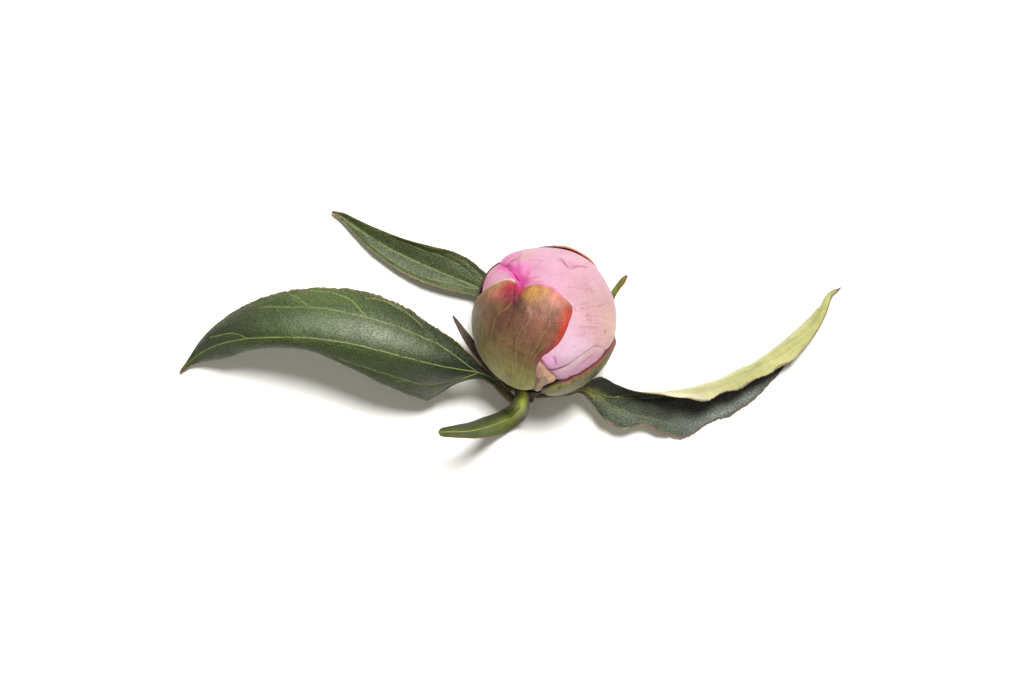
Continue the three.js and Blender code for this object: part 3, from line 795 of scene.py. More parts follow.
def guard_paint(ways, polar, turn, edge):
    """Pale pink, then dabs and strokes from the palest to the deepest; last, painted shade darkens it
    towards the tip, where the lamp is strongest.
    """
    c = np.tile(seen(236, 180, 204), (len(ways), 1))
    c = paint_dabs(c, ways, [
        (236, 202, 226, 0.9, 88, 30, 26), (228, 184, 190, 0.8, 125, 48, 26),
        (230, 186, 168, 0.85, 108, 70, 22), (240, 178, 212, 0.6, 142, -28, 16),
        (214, 120, 176, 0.35, 147, -41, 5), (226, 188, 168, 0.6, 150, -78, 6),
        (246, 96, 196, 0.9, 132, -94, 11), (238, 96, 196, 0.85, 137, -54, 9),
        (240, 50, 156, 0.92, 131, -38, 6), (206, 14, 88, 0.97, 124, -35, 6.5),
        (250, 174, 228, 0.75, 73, 9, 8)])
    folds = [(212, 52, 144, 0.42, path, 0.6, 0.25) for path in FAN_FOLDS + [TIP_FOLD]]
    c = paint_strokes(c, ways, folds)
    c = mix(c, seen(200, 50, 120), 0.7 * dab(ways, 128, -77, 4.5))
    folds = [(190, 44, 112, 0.85, SIDE_FOLD, 0.9, 0.2), (255, 76, 184, 0.95, MAGENTA_CREASE, 1.3, 0.05)]
    folds += [(196, 88, 132, 0.85, path, 0.36, 0.25) for path in Y_CREASES]
    c = paint_strokes(c, ways, folds)
    c = mix(c, seen(178, 80, 120), 0.7 * dab(ways, 166, -4, 2.0))
    c = mix(c, seen(222, 128, 172), 0.5 * stroke(ways, TIP_LINE, 0.5))
    c = mix(c, seen(180, 84, 152), 0.8 * stroke(ways, LOBE_FOLD, 0.4) * ease(38, 22, turn))
    c = paint_strokes(c, ways, [(234, 200, 200, 0.5, LOBE_LIGHT, 1.0, 0.2),
                                (196, 116, 184, 0.7, LOBE_PLEAT, 0.4, 0.3)])
    c = mix(c, seen(140, 84, 62), 0.85 * dab(ways, 104, 59, 1.1))
    c = mix(c, seen(222, 140, 184), 0.5 * ease(110, 150, np.abs(turn)))
    share = (0.12 + 1.0 * dab(ways, 122, 58, 34)) * (0.75 + 0.35 * ripple(ways, 0.3, 7))
    # Painted shade: the colour is darker towards the tip of the bud, where the lamp lights the petal
    # most.
    c = c * (1.0 - 0.22 * ease(96, 132, polar))[:, None]
    return with_share(uneven(c, ways, (0.05, 0.35, 6)), share)


def left_relief(ways, polar, turn, edge):
    """Small folds that run together towards the notch at (130, -40), a bulge
    at the left, softer swells, and the magenta crease pressed in."""
    notch = direction(np.array(130.0), np.array(-40.0))
    near_notch = np.exp(-(np.arccos(np.clip(ways @ notch, -1, 1)) / 0.45) ** 2)
    folds = 0.16 * near_notch * np.sin(turn * 0.35 + polar * 0.12)
    swells = dabs_up(ways, [(2.5, 115, -103, 20), (0.5, 124, -70, 16), (0.8, 123, -35, 8),
                            (0.3, 133, -62, 8)])
    return folds + 0.03 * ripple(ways, 0.2, 8) + swells - 0.06 * stroke(ways, MAGENTA_CREASE, 0.8)


def left_paint(ways, polar, turn, edge):
    """Lilac pink, magenta at its crease, crimson in the notch, and painted shade towards the tip."""
    c = np.tile(seen(234, 164, 196), (len(ways), 1))
    c = paint_dabs(c, ways, [
        (232, 176, 206, 0.8, 126, -66, 8), (240, 130, 190, 0.8, 134, -98, 12),
        (214, 84, 160, 0.7, 133, -46, 5), (226, 140, 170, 0.6, 112, -94, 9)])
    c = mix(c, seen(255, 76, 184), 0.95 * stroke(ways, MAGENTA_CREASE, 1.2))
    c = mix(c, seen(190, 12, 74), 0.98 * dab(ways, 122, -35, 7.5))
    # Painted shade: the colour is darker towards the tip of the bud, where the lamp lights the petal
    # most.
    c = c * (1.0 - 0.18 * ease(96, 132, polar))[:, None]
    return with_share(uneven(c, ways, (0.05, 0.3, 9)), 0.15)


def lower_relief(ways, polar, turn, edge):
    """Low under the guard petal; a smooth step of 0.8 mm lifts it where it
    looks out from under that petal's edge, which runs by interpolation."""
    border = np.interp(polar, [55, 65, 70, 77, 83, 90, 96], [10, 14, 23, 30, 37, 45, 52])
    border = border - 6.0 * ease(70, 84, polar)
    step = 0.8 * ease(-3.0, 3.0, turn - border) * ease(47, 60, polar)
    lift = calm_relief(ways, polar, turn, edge) + step + 0.3 * dab(ways, 87, 61, 9)
    return lift - 0.16 * stroke(ways, LOWER_PLEAT, 0.5, 0.3)


def lower_paint(ways, polar, turn, edge):
    """Lilac pink at the lobe, cream beside the fold, pink along the sepal."""
    c = np.tile(seen(234, 184, 210), (len(ways), 1))
    c = mix(c, seen(236, 204, 208), 0.85 * stroke(ways, LOWER_LIGHT, 1.3))
    c = mix(c, seen(238, 182, 218), 0.8 * dab(ways, 60, 25, 8))
    c = mix(c, seen(232, 186, 192), 0.9 * ease(80, 90, polar))
    c = paint_strokes(c, ways, [(222, 140, 184, 0.4, LOWER_FLUSH, 0.9, 0.2),
                                (190, 116, 140, 0.5, LOWER_PLEAT, 0.35, 0.3)])
    c = mix(c, seen(176, 82, 140), 0.7 * stroke(ways, LOBE_FOLD, 0.4) * ease(34, 22, turn))
    return with_share(uneven(c, ways, (0.05, 0.3, 10)), 0.35)


def calm_relief(ways, polar, turn, edge):
    """Only faint waves."""
    return 0.06 * ripple(ways, 0.6, 11) + 0.02 * ripple(ways, 0.2, 12)


def under_paint(ways, polar, turn, edge):
    """Even pink, a little deeper at the edge."""
    c = np.tile(seen(238, 184, 208), (len(ways), 1))
    c = mix(c, seen(220, 128, 168), 0.6 * (1 - ease(0, 3, edge)))
    return uneven(c, ways, (0.06, 0.35, 13))


# %% Petals
make_shell("guard_petal", middle=(130, 60), outline=GUARD_PETAL, radius=18.75, thick=0.65, lip=0.2,
           rings=110, spokes=420, relief=guard_relief, paint=guard_paint, node="petal_guard",
           slot="petal")
make_shell("crumpled_petal", middle=(116, -90), outline=LEFT_PETAL, radius=17.7, thick=0.65, lip=0.1,
           rings=60, spokes=260, relief=left_relief, paint=left_paint, node="petal_left",
           slot="petal")
make_shell("lower_petal", middle=(76, 62), outline=LOWER_PETAL, radius=17.7, thick=0.65, lip=0.1,
           rings=80, spokes=320, relief=lower_relief, paint=lower_paint, node="petal_lower",
           slot="petal")
make_shell("under_petal", middle=(98, 170), outline=UNDER_PETAL, radius=17.7, thick=0.65, lip=0.1,
           rings=50, spokes=240, relief=calm_relief, paint=under_paint, node="petal_under",
           slot="petal")

# %% [markdown]
# ## Sepals
#
# Five leathery sepals hold the bud. The front one is the bud's face: a
# broad shield with a notch at its tip, green where it is joined, brown in
# the middle, ochre and red along its right margin. Thin yellow veins run
# together at its base. It could be painted by a texture, but strokes keep
# every vein a line that can be moved.

# %% Sepal outlines
FRONT_SEPAL = [
    (22, -12), (30, 6), (43, 7), (55, 5), (65, 3), (74, 3.5), (79, 5), (83, 8), (88, 11.5),
    (94, 15), (104, 18), (112, 19.5), (119, 21), (124, 20), (128, 14), (131, 8), (135, 0),
    (136, -12), (134, -22), (130, -27.5), (124, -30.5), (118.5, -32), (122, -36.5), (127, -41),
    (129, -47), (127, -55), (120, -65), (110, -75), (99, -84), (90, -90), (82, -100),
    (72, -110), (58, -110), (44, -98), (34, -80), (29, -58), (25, -36)]
RIGHT_SEPAL = [
    (20, 60), (24, 30), (36, 20), (45, 22), (54, 29.5), (58, 36), (62.5, 39), (66, 46), (72, 52),
    (78, 61), (80, 64), (85, 68), (88, 73), (92, 81), (94, 89), (93, 95), (90, 103),
    (82, 118), (70, 130), (56, 137), (42, 137), (30, 128), (22, 100)]
BACK_SEPAL = [
    (19, 168), (24, 138), (34, 142), (48, 144), (64, 143), (78, 138), (92, 130), (108, 126),
    (130, 125), (146, 122), (153, 126), (159, 145), (163, 178), (162, -160), (158, -142),
    (152, -128), (135, -128), (115, -128), (95, -130), (75, -132), (55, -134), (38, -136),
    (26, -144)]
LEFT_SEPAL = [
    (20, -118), (26, -98), (36, -104), (46, -113), (58, -118), (72, -117), (84, -109),
    (92, -98), (101, -94), (108, -95), (115, -97), (123, -101), (127, -111), (122, -123),
    (108, -124), (92, -125), (74, -127), (56, -129), (40, -130), (27, -133)]
INNER_SEPAL = [
    (29, 14), (36, 8), (48, 5), (60, 2), (68, 1), (74, 3), (71, 8), (67, 12), (62.5, 19),
    (57, 28), (50, 24), (42, 18), (34, 18)]

NOTCH = [(131, -37), (127, -35), (122, -34), (119, -31), (115, -27)]
NOTCH_CRIMSON = [(127, -36), (122, -35), (116, -32)]
NOTCH_SHADE = [(110, -44), (115, -41), (117, -35), (116, -30)]
PINK_LINE = [(119, -22), (111, -15), (104, -11)]
SEPAL_VEINS = [
    [(103, -38), (96, -41), (87, -41), (77, -41), (68, -41), (56, -36), (46, -28)],
    [(102, -38), (108, -34), (113, -33)],
    [(114, -15), (108, -13), (103, -13), (95, -17), (88, -18), (78, -17), (67, -15), (52, -12)],
    [(118, -1), (111, 2), (105, 3), (99, 1), (92, -1), (85, -2), (77, -5), (64, -5), (48, -5)],
    [(89, 4), (82, 0), (73, -2), (60, -2), (48, -3)],
    [(66, -33), (53, -24), (39, -17)]]
INNER_STREAK = [(70, 4), (60, 6), (48, 8), (38, 12)]
INNER_EDGE = [(38, 18), (44, 19.5), (50, 24), (56, 28)]


# %% Sepal relief and paint
def front_relief(ways, polar, turn, edge):
    """A long swell, a valley up to the notch, fine waves, a margin that lies
    down, and raised veins."""
    valley = np.exp(-((turn + 33) / 9) ** 2) * np.clip((polar - 95) / 40, 0, 1)
    swell = 0.14 * np.sin(np.radians(polar - 30)) - 0.24 * valley
    waves = 0.05 * ripple(ways, 0.5, 20) + 0.02 * ripple(ways, 0.16, 21)
    margin = 0.25 * ease(1.6, 0.0, edge) * ease(60, 80, polar)
    veins = strokes_up(ways, [(0.04, path, 0.25, 0.15) for path in SEPAL_VEINS])
    return swell + waves - 0.3 * stroke(ways, NOTCH, 0.6) - margin + veins


def front_paint(ways, polar, turn, edge):
    """Green base, brown middle, pinkish tan and ochre on the right, peach
    along the top of the left lobe, crimson at the notch, red margin."""
    c = mix(seen(164, 158, 84), seen(122, 92, 66), ease(44, 92, polar + 0.25 * (turn + 30)))
    c = mix(c, seen(114, 104, 70), 0.9 * ease(-38, -78, turn) * (1 - ease(76, 104, polar)))
    c = paint_dabs(c, ways, [
        (176, 166, 112, 0.7, 34, -62, 20), (164, 164, 74, 0.85, 42, -8, 18),
        (104, 62, 50, 0.85, 105, -36, 17)])
    c = mix(c, seen(156, 98, 80), 0.9 * ease(-26, -6, turn) * ease(84, 108, polar))
    c = mix(c, seen(130, 110, 60), 0.5 * dab(ways, 104, -44, 5))
    lobe = ease(-38, -48, turn) * ease(82, 98, polar)
    low = 1 - 0.7 * ease(118, 127, polar)
    c = mix(c, seen(182, 108, 84), 0.85 * ease(9.0, 4.5, edge) * lobe * ease(98, 112, polar))
    c = mix(c, seen(186, 144, 88), 0.9 * ease(4.2, 1.6, edge) * lobe * low)
    c = paint_dabs(c, ways, [
        (184, 36, 70, 0.95, 121, -42, 8), (206, 150, 66, 0.95, 127, -19, 8.5),
        (204, 142, 84, 0.6, 131, -4, 8), (214, 142, 112, 0.6, 126, 3, 7),
        (214, 132, 110, 0.7, 127, 9, 8)])
    right = ease(-6, 6, turn) * ease(72, 82, polar) * (1 - ease(116, 126, polar))
    wide = 1.6 + 1.8 * ease(84, 106, polar)
    c = mix(c, seen(138, 78, 56), 0.65 * right * ease(2.4, 1.1, edge / wide))
    c = mix(c, seen(204, 58, 46), 0.97 * right * ease(1.05, 0.35, edge / wide))
    c = mix(c, seen(224, 96, 66), 0.7 * dab(ways, 114, 15, 5))
    c = mix(c, seen(186, 40, 70), 0.9 * ease(2.6, 0.6, edge) * dab(ways, 84, 9, 9))
    c = mix(c, seen(200, 20, 88), 0.97 * dab(ways, 127, -34, 5.5))
    c = mix(c, seen(150, 14, 58), 0.95 * stroke(ways, NOTCH_CRIMSON, 1.5))
    c = mix(c, seen(66, 40, 40), 0.9 * dab(ways, 113, -28, 4.0))
    c = mix(c, seen(110, 48, 66), 0.6 * stroke(ways, NOTCH_SHADE, 0.45))
    c = mix(c, seen(60, 44, 40), 0.7 * dab(ways, 82, -28, 1.0))
    tip = ease(-30, -24, turn) * (1 - ease(4, 12, turn)) * ease(116, 124, polar)
    c = mix(c, seen(240, 130, 180), 0.9 * ease(1.5, 0.4, edge) * tip)
    c = mix(c, seen(236, 200, 186), 0.95 * ease(0.9, 0.3, edge) * lobe * ease(-41, -46, turn))
    c = mix(c, seen(212, 198, 158), 0.85 * ease(1.7, 0.5, edge) * ease(-60, -76, turn))
    c = mix(c, seen(54, 40, 28), 0.9 * ease(1.5, 0.5, edge) * (1 - ease(26, 36, polar)))
    for path in SEPAL_VEINS:
        c = mix(c, seen(84, 54, 42), 0.3 * stroke(ways, path, 0.8, 0.2) * ease(60, 80, polar))
        c = mix(c, seen(178, 146, 88), 0.46 * stroke(ways, path, 0.2, 0.2))
    c = mix(c, seen(206, 150, 140), 0.35 * stroke(ways, PINK_LINE, 0.4, 0.3))
    # The factor below makes the sepal lighter near its base and at one spot by the tip, and darker
    # towards the tip away from the left lobe. That darkening is painted shade, where the lamp lights the
    # sepal most.
    light = 0.34 * ease(66, 34, polar) + 0.25 * dab(ways, 127, 8, 10)
    light = light - 0.14 * ease(84, 124, polar) * ease(-50, -20, turn)
    return uneven(c * (1.0 + light)[:, None], ways, (0.10, 0.14, 23), (0.07, 0.4, 24))


def right_relief(ways, polar, turn, edge):
    """Dips to the stem and, where it shows, hugs the petals at its edge."""
    lift = 0.25 * np.exp(-((polar - 34) / 14) ** 2) - 0.85 * np.exp(-((polar - 20) / 7) ** 2)
    shown = (1 - ease(96, 116, turn)) * (1 - 0.4 * ease(80, 92, polar))
    return lift + 0.05 * ripple(ways, 0.45, 26) - shown * (0.75 + 0.6 * ease(3.0, 0.0, edge))


def right_paint(ways, polar, turn, edge):
    """Olive with lighter streaks, a thin crimson margin, brown at the tip."""
    c = mix(seen(150, 150, 88), seen(116, 108, 68), ease(36, 66, polar))
    c = paint_dabs(c, ways, [(158, 150, 92, 0.7, 52, 56, 12), (84, 82, 60, 0.6, 64, 66, 9)])
    c = mix(c, seen(96, 96, 66), 0.6 * ease(80, 125, turn))
    rim = ease(50, 58, polar) * (1 - ease(100, 112, turn))
    c = mix(c, seen(150, 66, 76), 0.75 * ease(1.3, 0.6, edge) * rim)
    c = mix(c, seen(112, 20, 46), 0.95 * ease(0.75, 0.3, edge) * rim)
    c = mix(c, seen(138, 62, 54), 0.85 * dab(ways, 92, 84, 9))
    base = (1 - ease(50, 58, polar)) * ease(70, 50, turn)
    c = mix(c, seen(70, 48, 34), 0.9 * ease(0.9, 0.3, edge) * base)
    return uneven(c, ways, (0.10, 0.13, 27), (0.05, 0.4, 28))


def back_relief(ways, polar, turn, edge):
    """Its free tip stands a little off the petals at the top right."""
    return calm_relief(ways, polar, turn, edge) + 0.75 * dab(ways, 160, 155, 20)


def back_paint(ways, polar, turn, edge):
    """Olive green, bronze towards the tip, a margin that is orange-red at the
    top right and brown elsewhere."""
    c = mix(seen(140, 144, 86), seen(132, 110, 76), ease(70, 130, polar))
    c = mix(c, seen(158, 84, 66), 0.6 * ease(4.0, 1.4, edge) * ease(80, 110, polar))
    tip = ease(100, 130, polar)
    orange = ((turn > 0) | (turn < -158)) * tip
    c = mix(c, seen(212, 102, 66), 0.95 * ease(2.8, 1.5, edge) * orange)
    c = mix(c, seen(110, 58, 44), 0.85 * ease(2.4, 1.0, edge) * tip * (1 - orange))
    return uneven(c, ways, (0.09, 0.14, 29), (0.05, 0.4, 30))


def left_sepal_relief(ways, polar, turn, edge):
    """Its free rim lies close round the bulging petal."""
    return 0.05 * ripple(ways, 0.6, 11) + 0.95 * dab(ways, 114, -104, 20)


def left_sepal_paint(ways, polar, turn, edge):
    """Dull olive, dark brown along its upper rim."""
    c = mix(seen(128, 130, 84), seen(110, 92, 70), ease(60, 110, polar))
    c = mix(c, seen(84, 50, 36), 0.95 * ease(2.2, 1.2, edge) * ease(70, 100, polar))
    return uneven(c, ways, (0.09, 0.14, 31))


def inner_relief(ways, polar, turn, edge):
    """Its edge lies down between the two petals beside it."""
    sunk = ease(2.6, 0.2, edge) * ease(40, 56, polar) * ease(3, 12, turn)
    return 0.05 * ripple(ways, 0.6, 32) - 0.35 - 0.75 * sunk


def inner_paint(ways, polar, turn, edge):
    """Tan with a pink streak, one purple spot, and a dark right edge that is painted shade in the crack
    beside the right sepal.
    """
    c = mix(seen(200, 170, 126), seen(210, 168, 142), ease(40, 66, polar))
    c = mix(c, seen(200, 126, 130), 0.4 * stroke(ways, INNER_STREAK, 0.4))
    c = mix(c, seen(110, 40, 74), 0.9 * dab(ways, 55, 7, 1.8))
    c = mix(c, seen(132, 50, 50), 0.4 * ease(0.7, 0.25, edge) * ease(24, 16, turn))
    # Painted shade: a dark line along the right edge, in the crack between this sepal and the right
    # sepal.
    c = mix(c, seen(76, 40, 34), 0.9 * stroke(ways, INNER_EDGE, 0.4))
    return uneven(c, ways, (0.07, 0.12, 33))


# %% Sepals
make_shell("front_sepal", middle=(82, -42), outline=FRONT_SEPAL, radius=19.75, thick=0.6, lip=0.2,
           rings=90, spokes=460, relief=front_relief, paint=front_paint, node="sepal_front",
           slot="sepal")
make_shell("right_sepal", middle=(58, 84), outline=RIGHT_SEPAL, radius=20.7, thick=0.6, lip=0.2,
           rings=70, spokes=400, relief=right_relief, paint=right_paint, node="sepal_right",
           slot="sepal")
make_shell("back_sepal", middle=(90, 178), outline=BACK_SEPAL, radius=19.75, thick=0.6, lip=0.15,
           rings=70, spokes=340, relief=back_relief, paint=back_paint, node="sepal_back",
           slot="sepal")
make_shell("left_sepal", middle=(84, -121), outline=LEFT_SEPAL, radius=19.75, thick=0.6, lip=0.1,
           rings=40, spokes=300, relief=left_sepal_relief, paint=left_sepal_paint, node="sepal_left",
           slot="sepal")
make_shell("inner_sepal", middle=(52, 14), outline=INNER_SEPAL, radius=19.75, thick=0.6, lip=0.1,
           rings=40, spokes=240, relief=inner_relief, paint=inner_paint, node="sepal_inner",
           slot="sepal")

# %% [markdown]
# ## Stem stub
#
# The stem was cut off short. Its stub is turned round the bud's axis: a
# dark cup that holds the sepals, a short round neck and the flat cut end,
# where the pith is paler than the skin.

# %% Stem stub
CUP_INSIDE = 17.65                 # distances from the bud's middle
CUP_OUTSIDE = 19.3
STUB_END = 23.42
CUP_RIM = 27.0                     # degrees from the axis


def make_stub(columns=96):
    """A profile of distances from the bud's middle and from its axis, carried
    round the axis; ridges along the neck are a cosine of the turn."""
    rim = np.radians(np.linspace(0.5, CUP_RIM, 12))
    under = CUP_INSIDE * np.stack([np.cos(rim), np.sin(rim)], -1)
    rim = np.radians(np.linspace(CUP_RIM, 10.0, 12))
    over = CUP_OUTSIDE * np.stack([np.cos(rim), np.sin(rim)], -1)
    neck = smooth_line([(19.4, 4.6), (20.3, 4.0), (21.2, 3.3), (22.3, 2.8), (23.1, 2.7),
                        (23.5, 2.56)], np.linspace(0.0, 1.0, 26))
    cut = np.array([(23.55, 2.4), (23.45, 2.1), (23.4, 1.6), (23.36, 1.0), (23.4, 0.5),
                    (STUB_END, 0.02)])
    profile = np.concatenate([under, over, neck, cut])
    rows = len(profile)
    turn = np.arange(columns) * 2.0 * np.pi / columns
    q, r = profile[:, :1], profile[:, 1:]
    on_neck = ease(19.4, 20.4, q) * (r > 0.3)
    r = r * (1.0 + on_neck * (0.035 * np.cos(5 * turn) + 0.02 * np.cos(13 * turn + 1.0)))
    points = (BUD_CENTRE - q[..., None] * tip_way
              + (r * np.cos(turn))[..., None] * up_way + (r * np.sin(turn))[..., None] * right_way)
    ends = np.stack([BUD_CENTRE - CUP_INSIDE * tip_way, BUD_CENTRE - STUB_END * tip_way])
    k = np.arange(rows)[:, None] + 0 * turn                     # row number of each point
    tint = mix(seen(38, 26, 18), seen(74, 56, 32), ease(28, 44, k))
    tint = mix(tint, seen(196, 180, 140), 0.8 * ease(47, 50, k))
    tint = mix(tint, seen(186, 190, 140), ease(51, 53, k)).reshape(-1, 3)
    tint = np.concatenate([tint, seen(54, 50, 34)[None], seen(196, 198, 150)[None]])
    flat = np.stack(np.broadcast_arrays(turn[None] / 6.28, k / rows), -1).reshape(-1, 2)
    flat = np.concatenate([flat, [[0.5, 0.0], [0.5, 1.0]]])
    return make_piece("stem_end", np.concatenate([points.reshape(-1, 3), ends]),
                      turned_faces(rows, columns), tint, flat, "stem_stub", ["stem"])


print("stem faces:", len(make_stub().data.polygons))

# %% [markdown]
# ## Leaves and bracts as blades
#
# A leaf is a blade between two margins with a midrib in the middle. Three
# lines through a few measured places carry it: one margin, the midrib, the
# other margin. Their places were read from the picture, given heights that
# its shadows suggest, and turned into millimetres; a few were moved. Between
# the lines the two halves may bulge. A flat card with a picture of a leaf
# would be quicker, but it has no edge, no back and no veins that catch the
# light.

# %% Blade surface
def blade_point(leaf, t, s):
    """midrib + w (margin - midrib) + normal (4 w (1 - w) bulge + wave w^2
    sin(31 t)), with w = |s|; s < 0 is the first half, s > 0 the other."""
    first, middle, last = (smooth_line([st[k] for st in leaf["rails"]], t) for k in range(3))
    ahead = smooth_line([st[1] for st in leaf["rails"]], np.clip(t + 0.004, 0, 1))
    behind = smooth_line([st[1] for st in leaf["rails"]], np.clip(t - 0.004, 0, 1))
    way = ahead - behind
    side = np.where((s < 0)[..., None], first, last)
    normal = np.where((s < 0)[..., None], np.cross(first - middle, way),
                      np.cross(way, last - middle)) * leaf["face"]
    normal /= np.linalg.norm(normal, axis=-1, keepdims=True) + 1e-9
    w = np.abs(s)
    full = np.clip((t - 0.12) * 6, 0, 1) * np.clip((1 - t) * 4, 0, 1)
    bulge = np.where(s < 0, leaf["bulge"][0], leaf["bulge"][1])
    lift = bulge * 4 * w * (1 - w) * full
    lift = lift + leaf["wave"] * full * w * w * np.sin(t * 31 + np.where(s < 0, 0.0, 2.0))
    return middle + w[..., None] * (side - middle) + lift[..., None] * normal


def blade_normal(leaf, t, s, gap=0.006):
    """Across the two ways of the sheet: (along x across) * face, made one long."""
    ahead, behind = np.clip(t + gap, 0, 1), np.clip(t - gap, 0, 1)
    right, left = np.clip(s + 4 * gap, -1, 1), np.clip(s - 4 * gap, -1, 1)
    along = blade_point(leaf, ahead, s) - blade_point(leaf, behind, s)
    across = blade_point(leaf, t, right) - blade_point(leaf, t, left)
    normal = np.cross(along, across) * leaf["face"]
    return normal / (np.linalg.norm(normal, axis=-1, keepdims=True) + 1e-9)


def vein_line(leaf, path, count=48):
    """A vein drawn through (t, s) places of a blade, as points and normals."""
    places = smooth_line(path, np.linspace(0.0, 1.0, count))
    t, s = np.clip(places[:, 0], 0, 1), np.clip(places[:, 1], -1, 1)
    return blade_point(leaf, t, s), blade_normal(leaf, t, s)


# %% [markdown]
# ### Veins
#
# A peony leaf has a strong pale midrib and a few side veins that leave it
# at a slant and run along the margin before they meet the next. Those that
# the picture shows are drawn as paths of (t, s) places: t goes along the
# leaf and s across it. The finer ones between follow a rule.

# %% Finer veins by rule
def fine_veins(leaf):
    """From midrib to margin, s = w and t = t0 + slant w^0.8 with a little
    unevenness; alternate sides."""
    rng = np.random.default_rng(leaf["seed"])
    count = leaf["fine"]
    w = np.array([0.0, 0.25, 0.5, 0.75, 0.97])
    paths = []
    for k in range(count):
        start = 0.10 + 0.84 * (k + rng.uniform(-0.2, 0.2)) / count
        slant = leaf["slant"] * (1 - 0.5 * start)
        t = start + slant * w ** 0.8 + rng.normal(0.0, 0.004, len(w))
        side = -1.0 if k % 2 else 1.0
        if t[-1] < 0.985:
            paths.append(np.stack([t, side * w], -1))
    return paths


# %% Tubes for veins
def tube_points(line, normals, radius, sides):
    """Rings round a line: point + r (cos(a) side + 0.8 sin(a) normal), where
    side = along x normal; the radius falls to nothing at both ends."""
    along = np.gradient(line, axis=0)
    side = np.cross(along, normals)
    side /= np.linalg.norm(side, axis=1, keepdims=True) + 1e-9
    angle = np.arange(sides) * 2 * np.pi / sides
    u = np.linspace(0.0, 1.0, len(line))
    r = radius * np.clip(np.minimum(0.25 + u * 14, (1 - u) * 6 + 0.02), 0, 1) * (1 - 0.55 * u)
    ring = (np.cos(angle)[None, :, None] * side[:, None]
            + 0.8 * np.sin(angle)[None, :, None] * normals[:, None])
    return line[:, None] + r[:, None, None] * ring


def tube_faces(rings, start, sides=8):
    """Quads between the rings of a tube with eight sides, and three quads
    with one corner in common at each end."""
    index = np.arange(rings * sides).reshape(rings, sides) + start
    walls = grid_faces(np.concatenate([index, index[:, :1]], axis=1))
    caps = [[0, 1, 2, 3], [0, 3, 4, 5], [0, 5, 6, 7]]
    return np.concatenate([walls, index[0, ::-1][caps], index[-1][caps]])


# %% [markdown]
# ### One function for all blades
#
# The sheet of a blade is pressed in along its veins, so it looks quilted,
# and thins out at a margin that is a little torn and frilled. Colours
# follow the same distances: a yellow glow beside each vein, a tan line at
# the margin, and a few dabs where the real leaf is worn, dark or red. Other
# dabs are painted light: painted shade where a leaf lies in shadow or turns
# away from the lamp, and painted sheen and highlights where it faces it.
# Some dabs also say where a leaf is glossy. The back has colours and a skin
# of its own. The midrib, the side veins and a few twigs that leave them are
# thin tubes, half sunk into the sheet, because they are narrower than the
# grid.

# %% Blade pieces
MIDRIB_GROOVE = 0.34
SIDE_GROOVE = 0.30
DULL = 0.06                        # gloss away from all dabs
NO_VEIN = 99.0                     # mm, where a blade has no such veins


def near(distance, width):
    """exp(-(distance / width)^2): one on the spot and nothing far away."""
    return np.exp(-(distance / width) ** 2)


def touch(c, t, s, dabs):
    """Blends a colour in round each (t, s): exp(-((t - t0) / a)^2 - ((s - s0) / b)^2)."""
    for t0, s0, a, b, colour, amount in dabs:
        c = mix(c, seen(*colour), amount * near(t - t0, a) * near(s - s0, b))
    return c


def to_veins(leaf, sheet, paths, count=48):
    """Distance from each place of a sheet to the nearest vein, in mm."""
    away = [line_distance(sheet, vein_line(leaf, path, count)[0])[0] for path in paths]
    return np.min(away + [np.full(sheet.shape[:2], NO_VEIN)], axis=0)


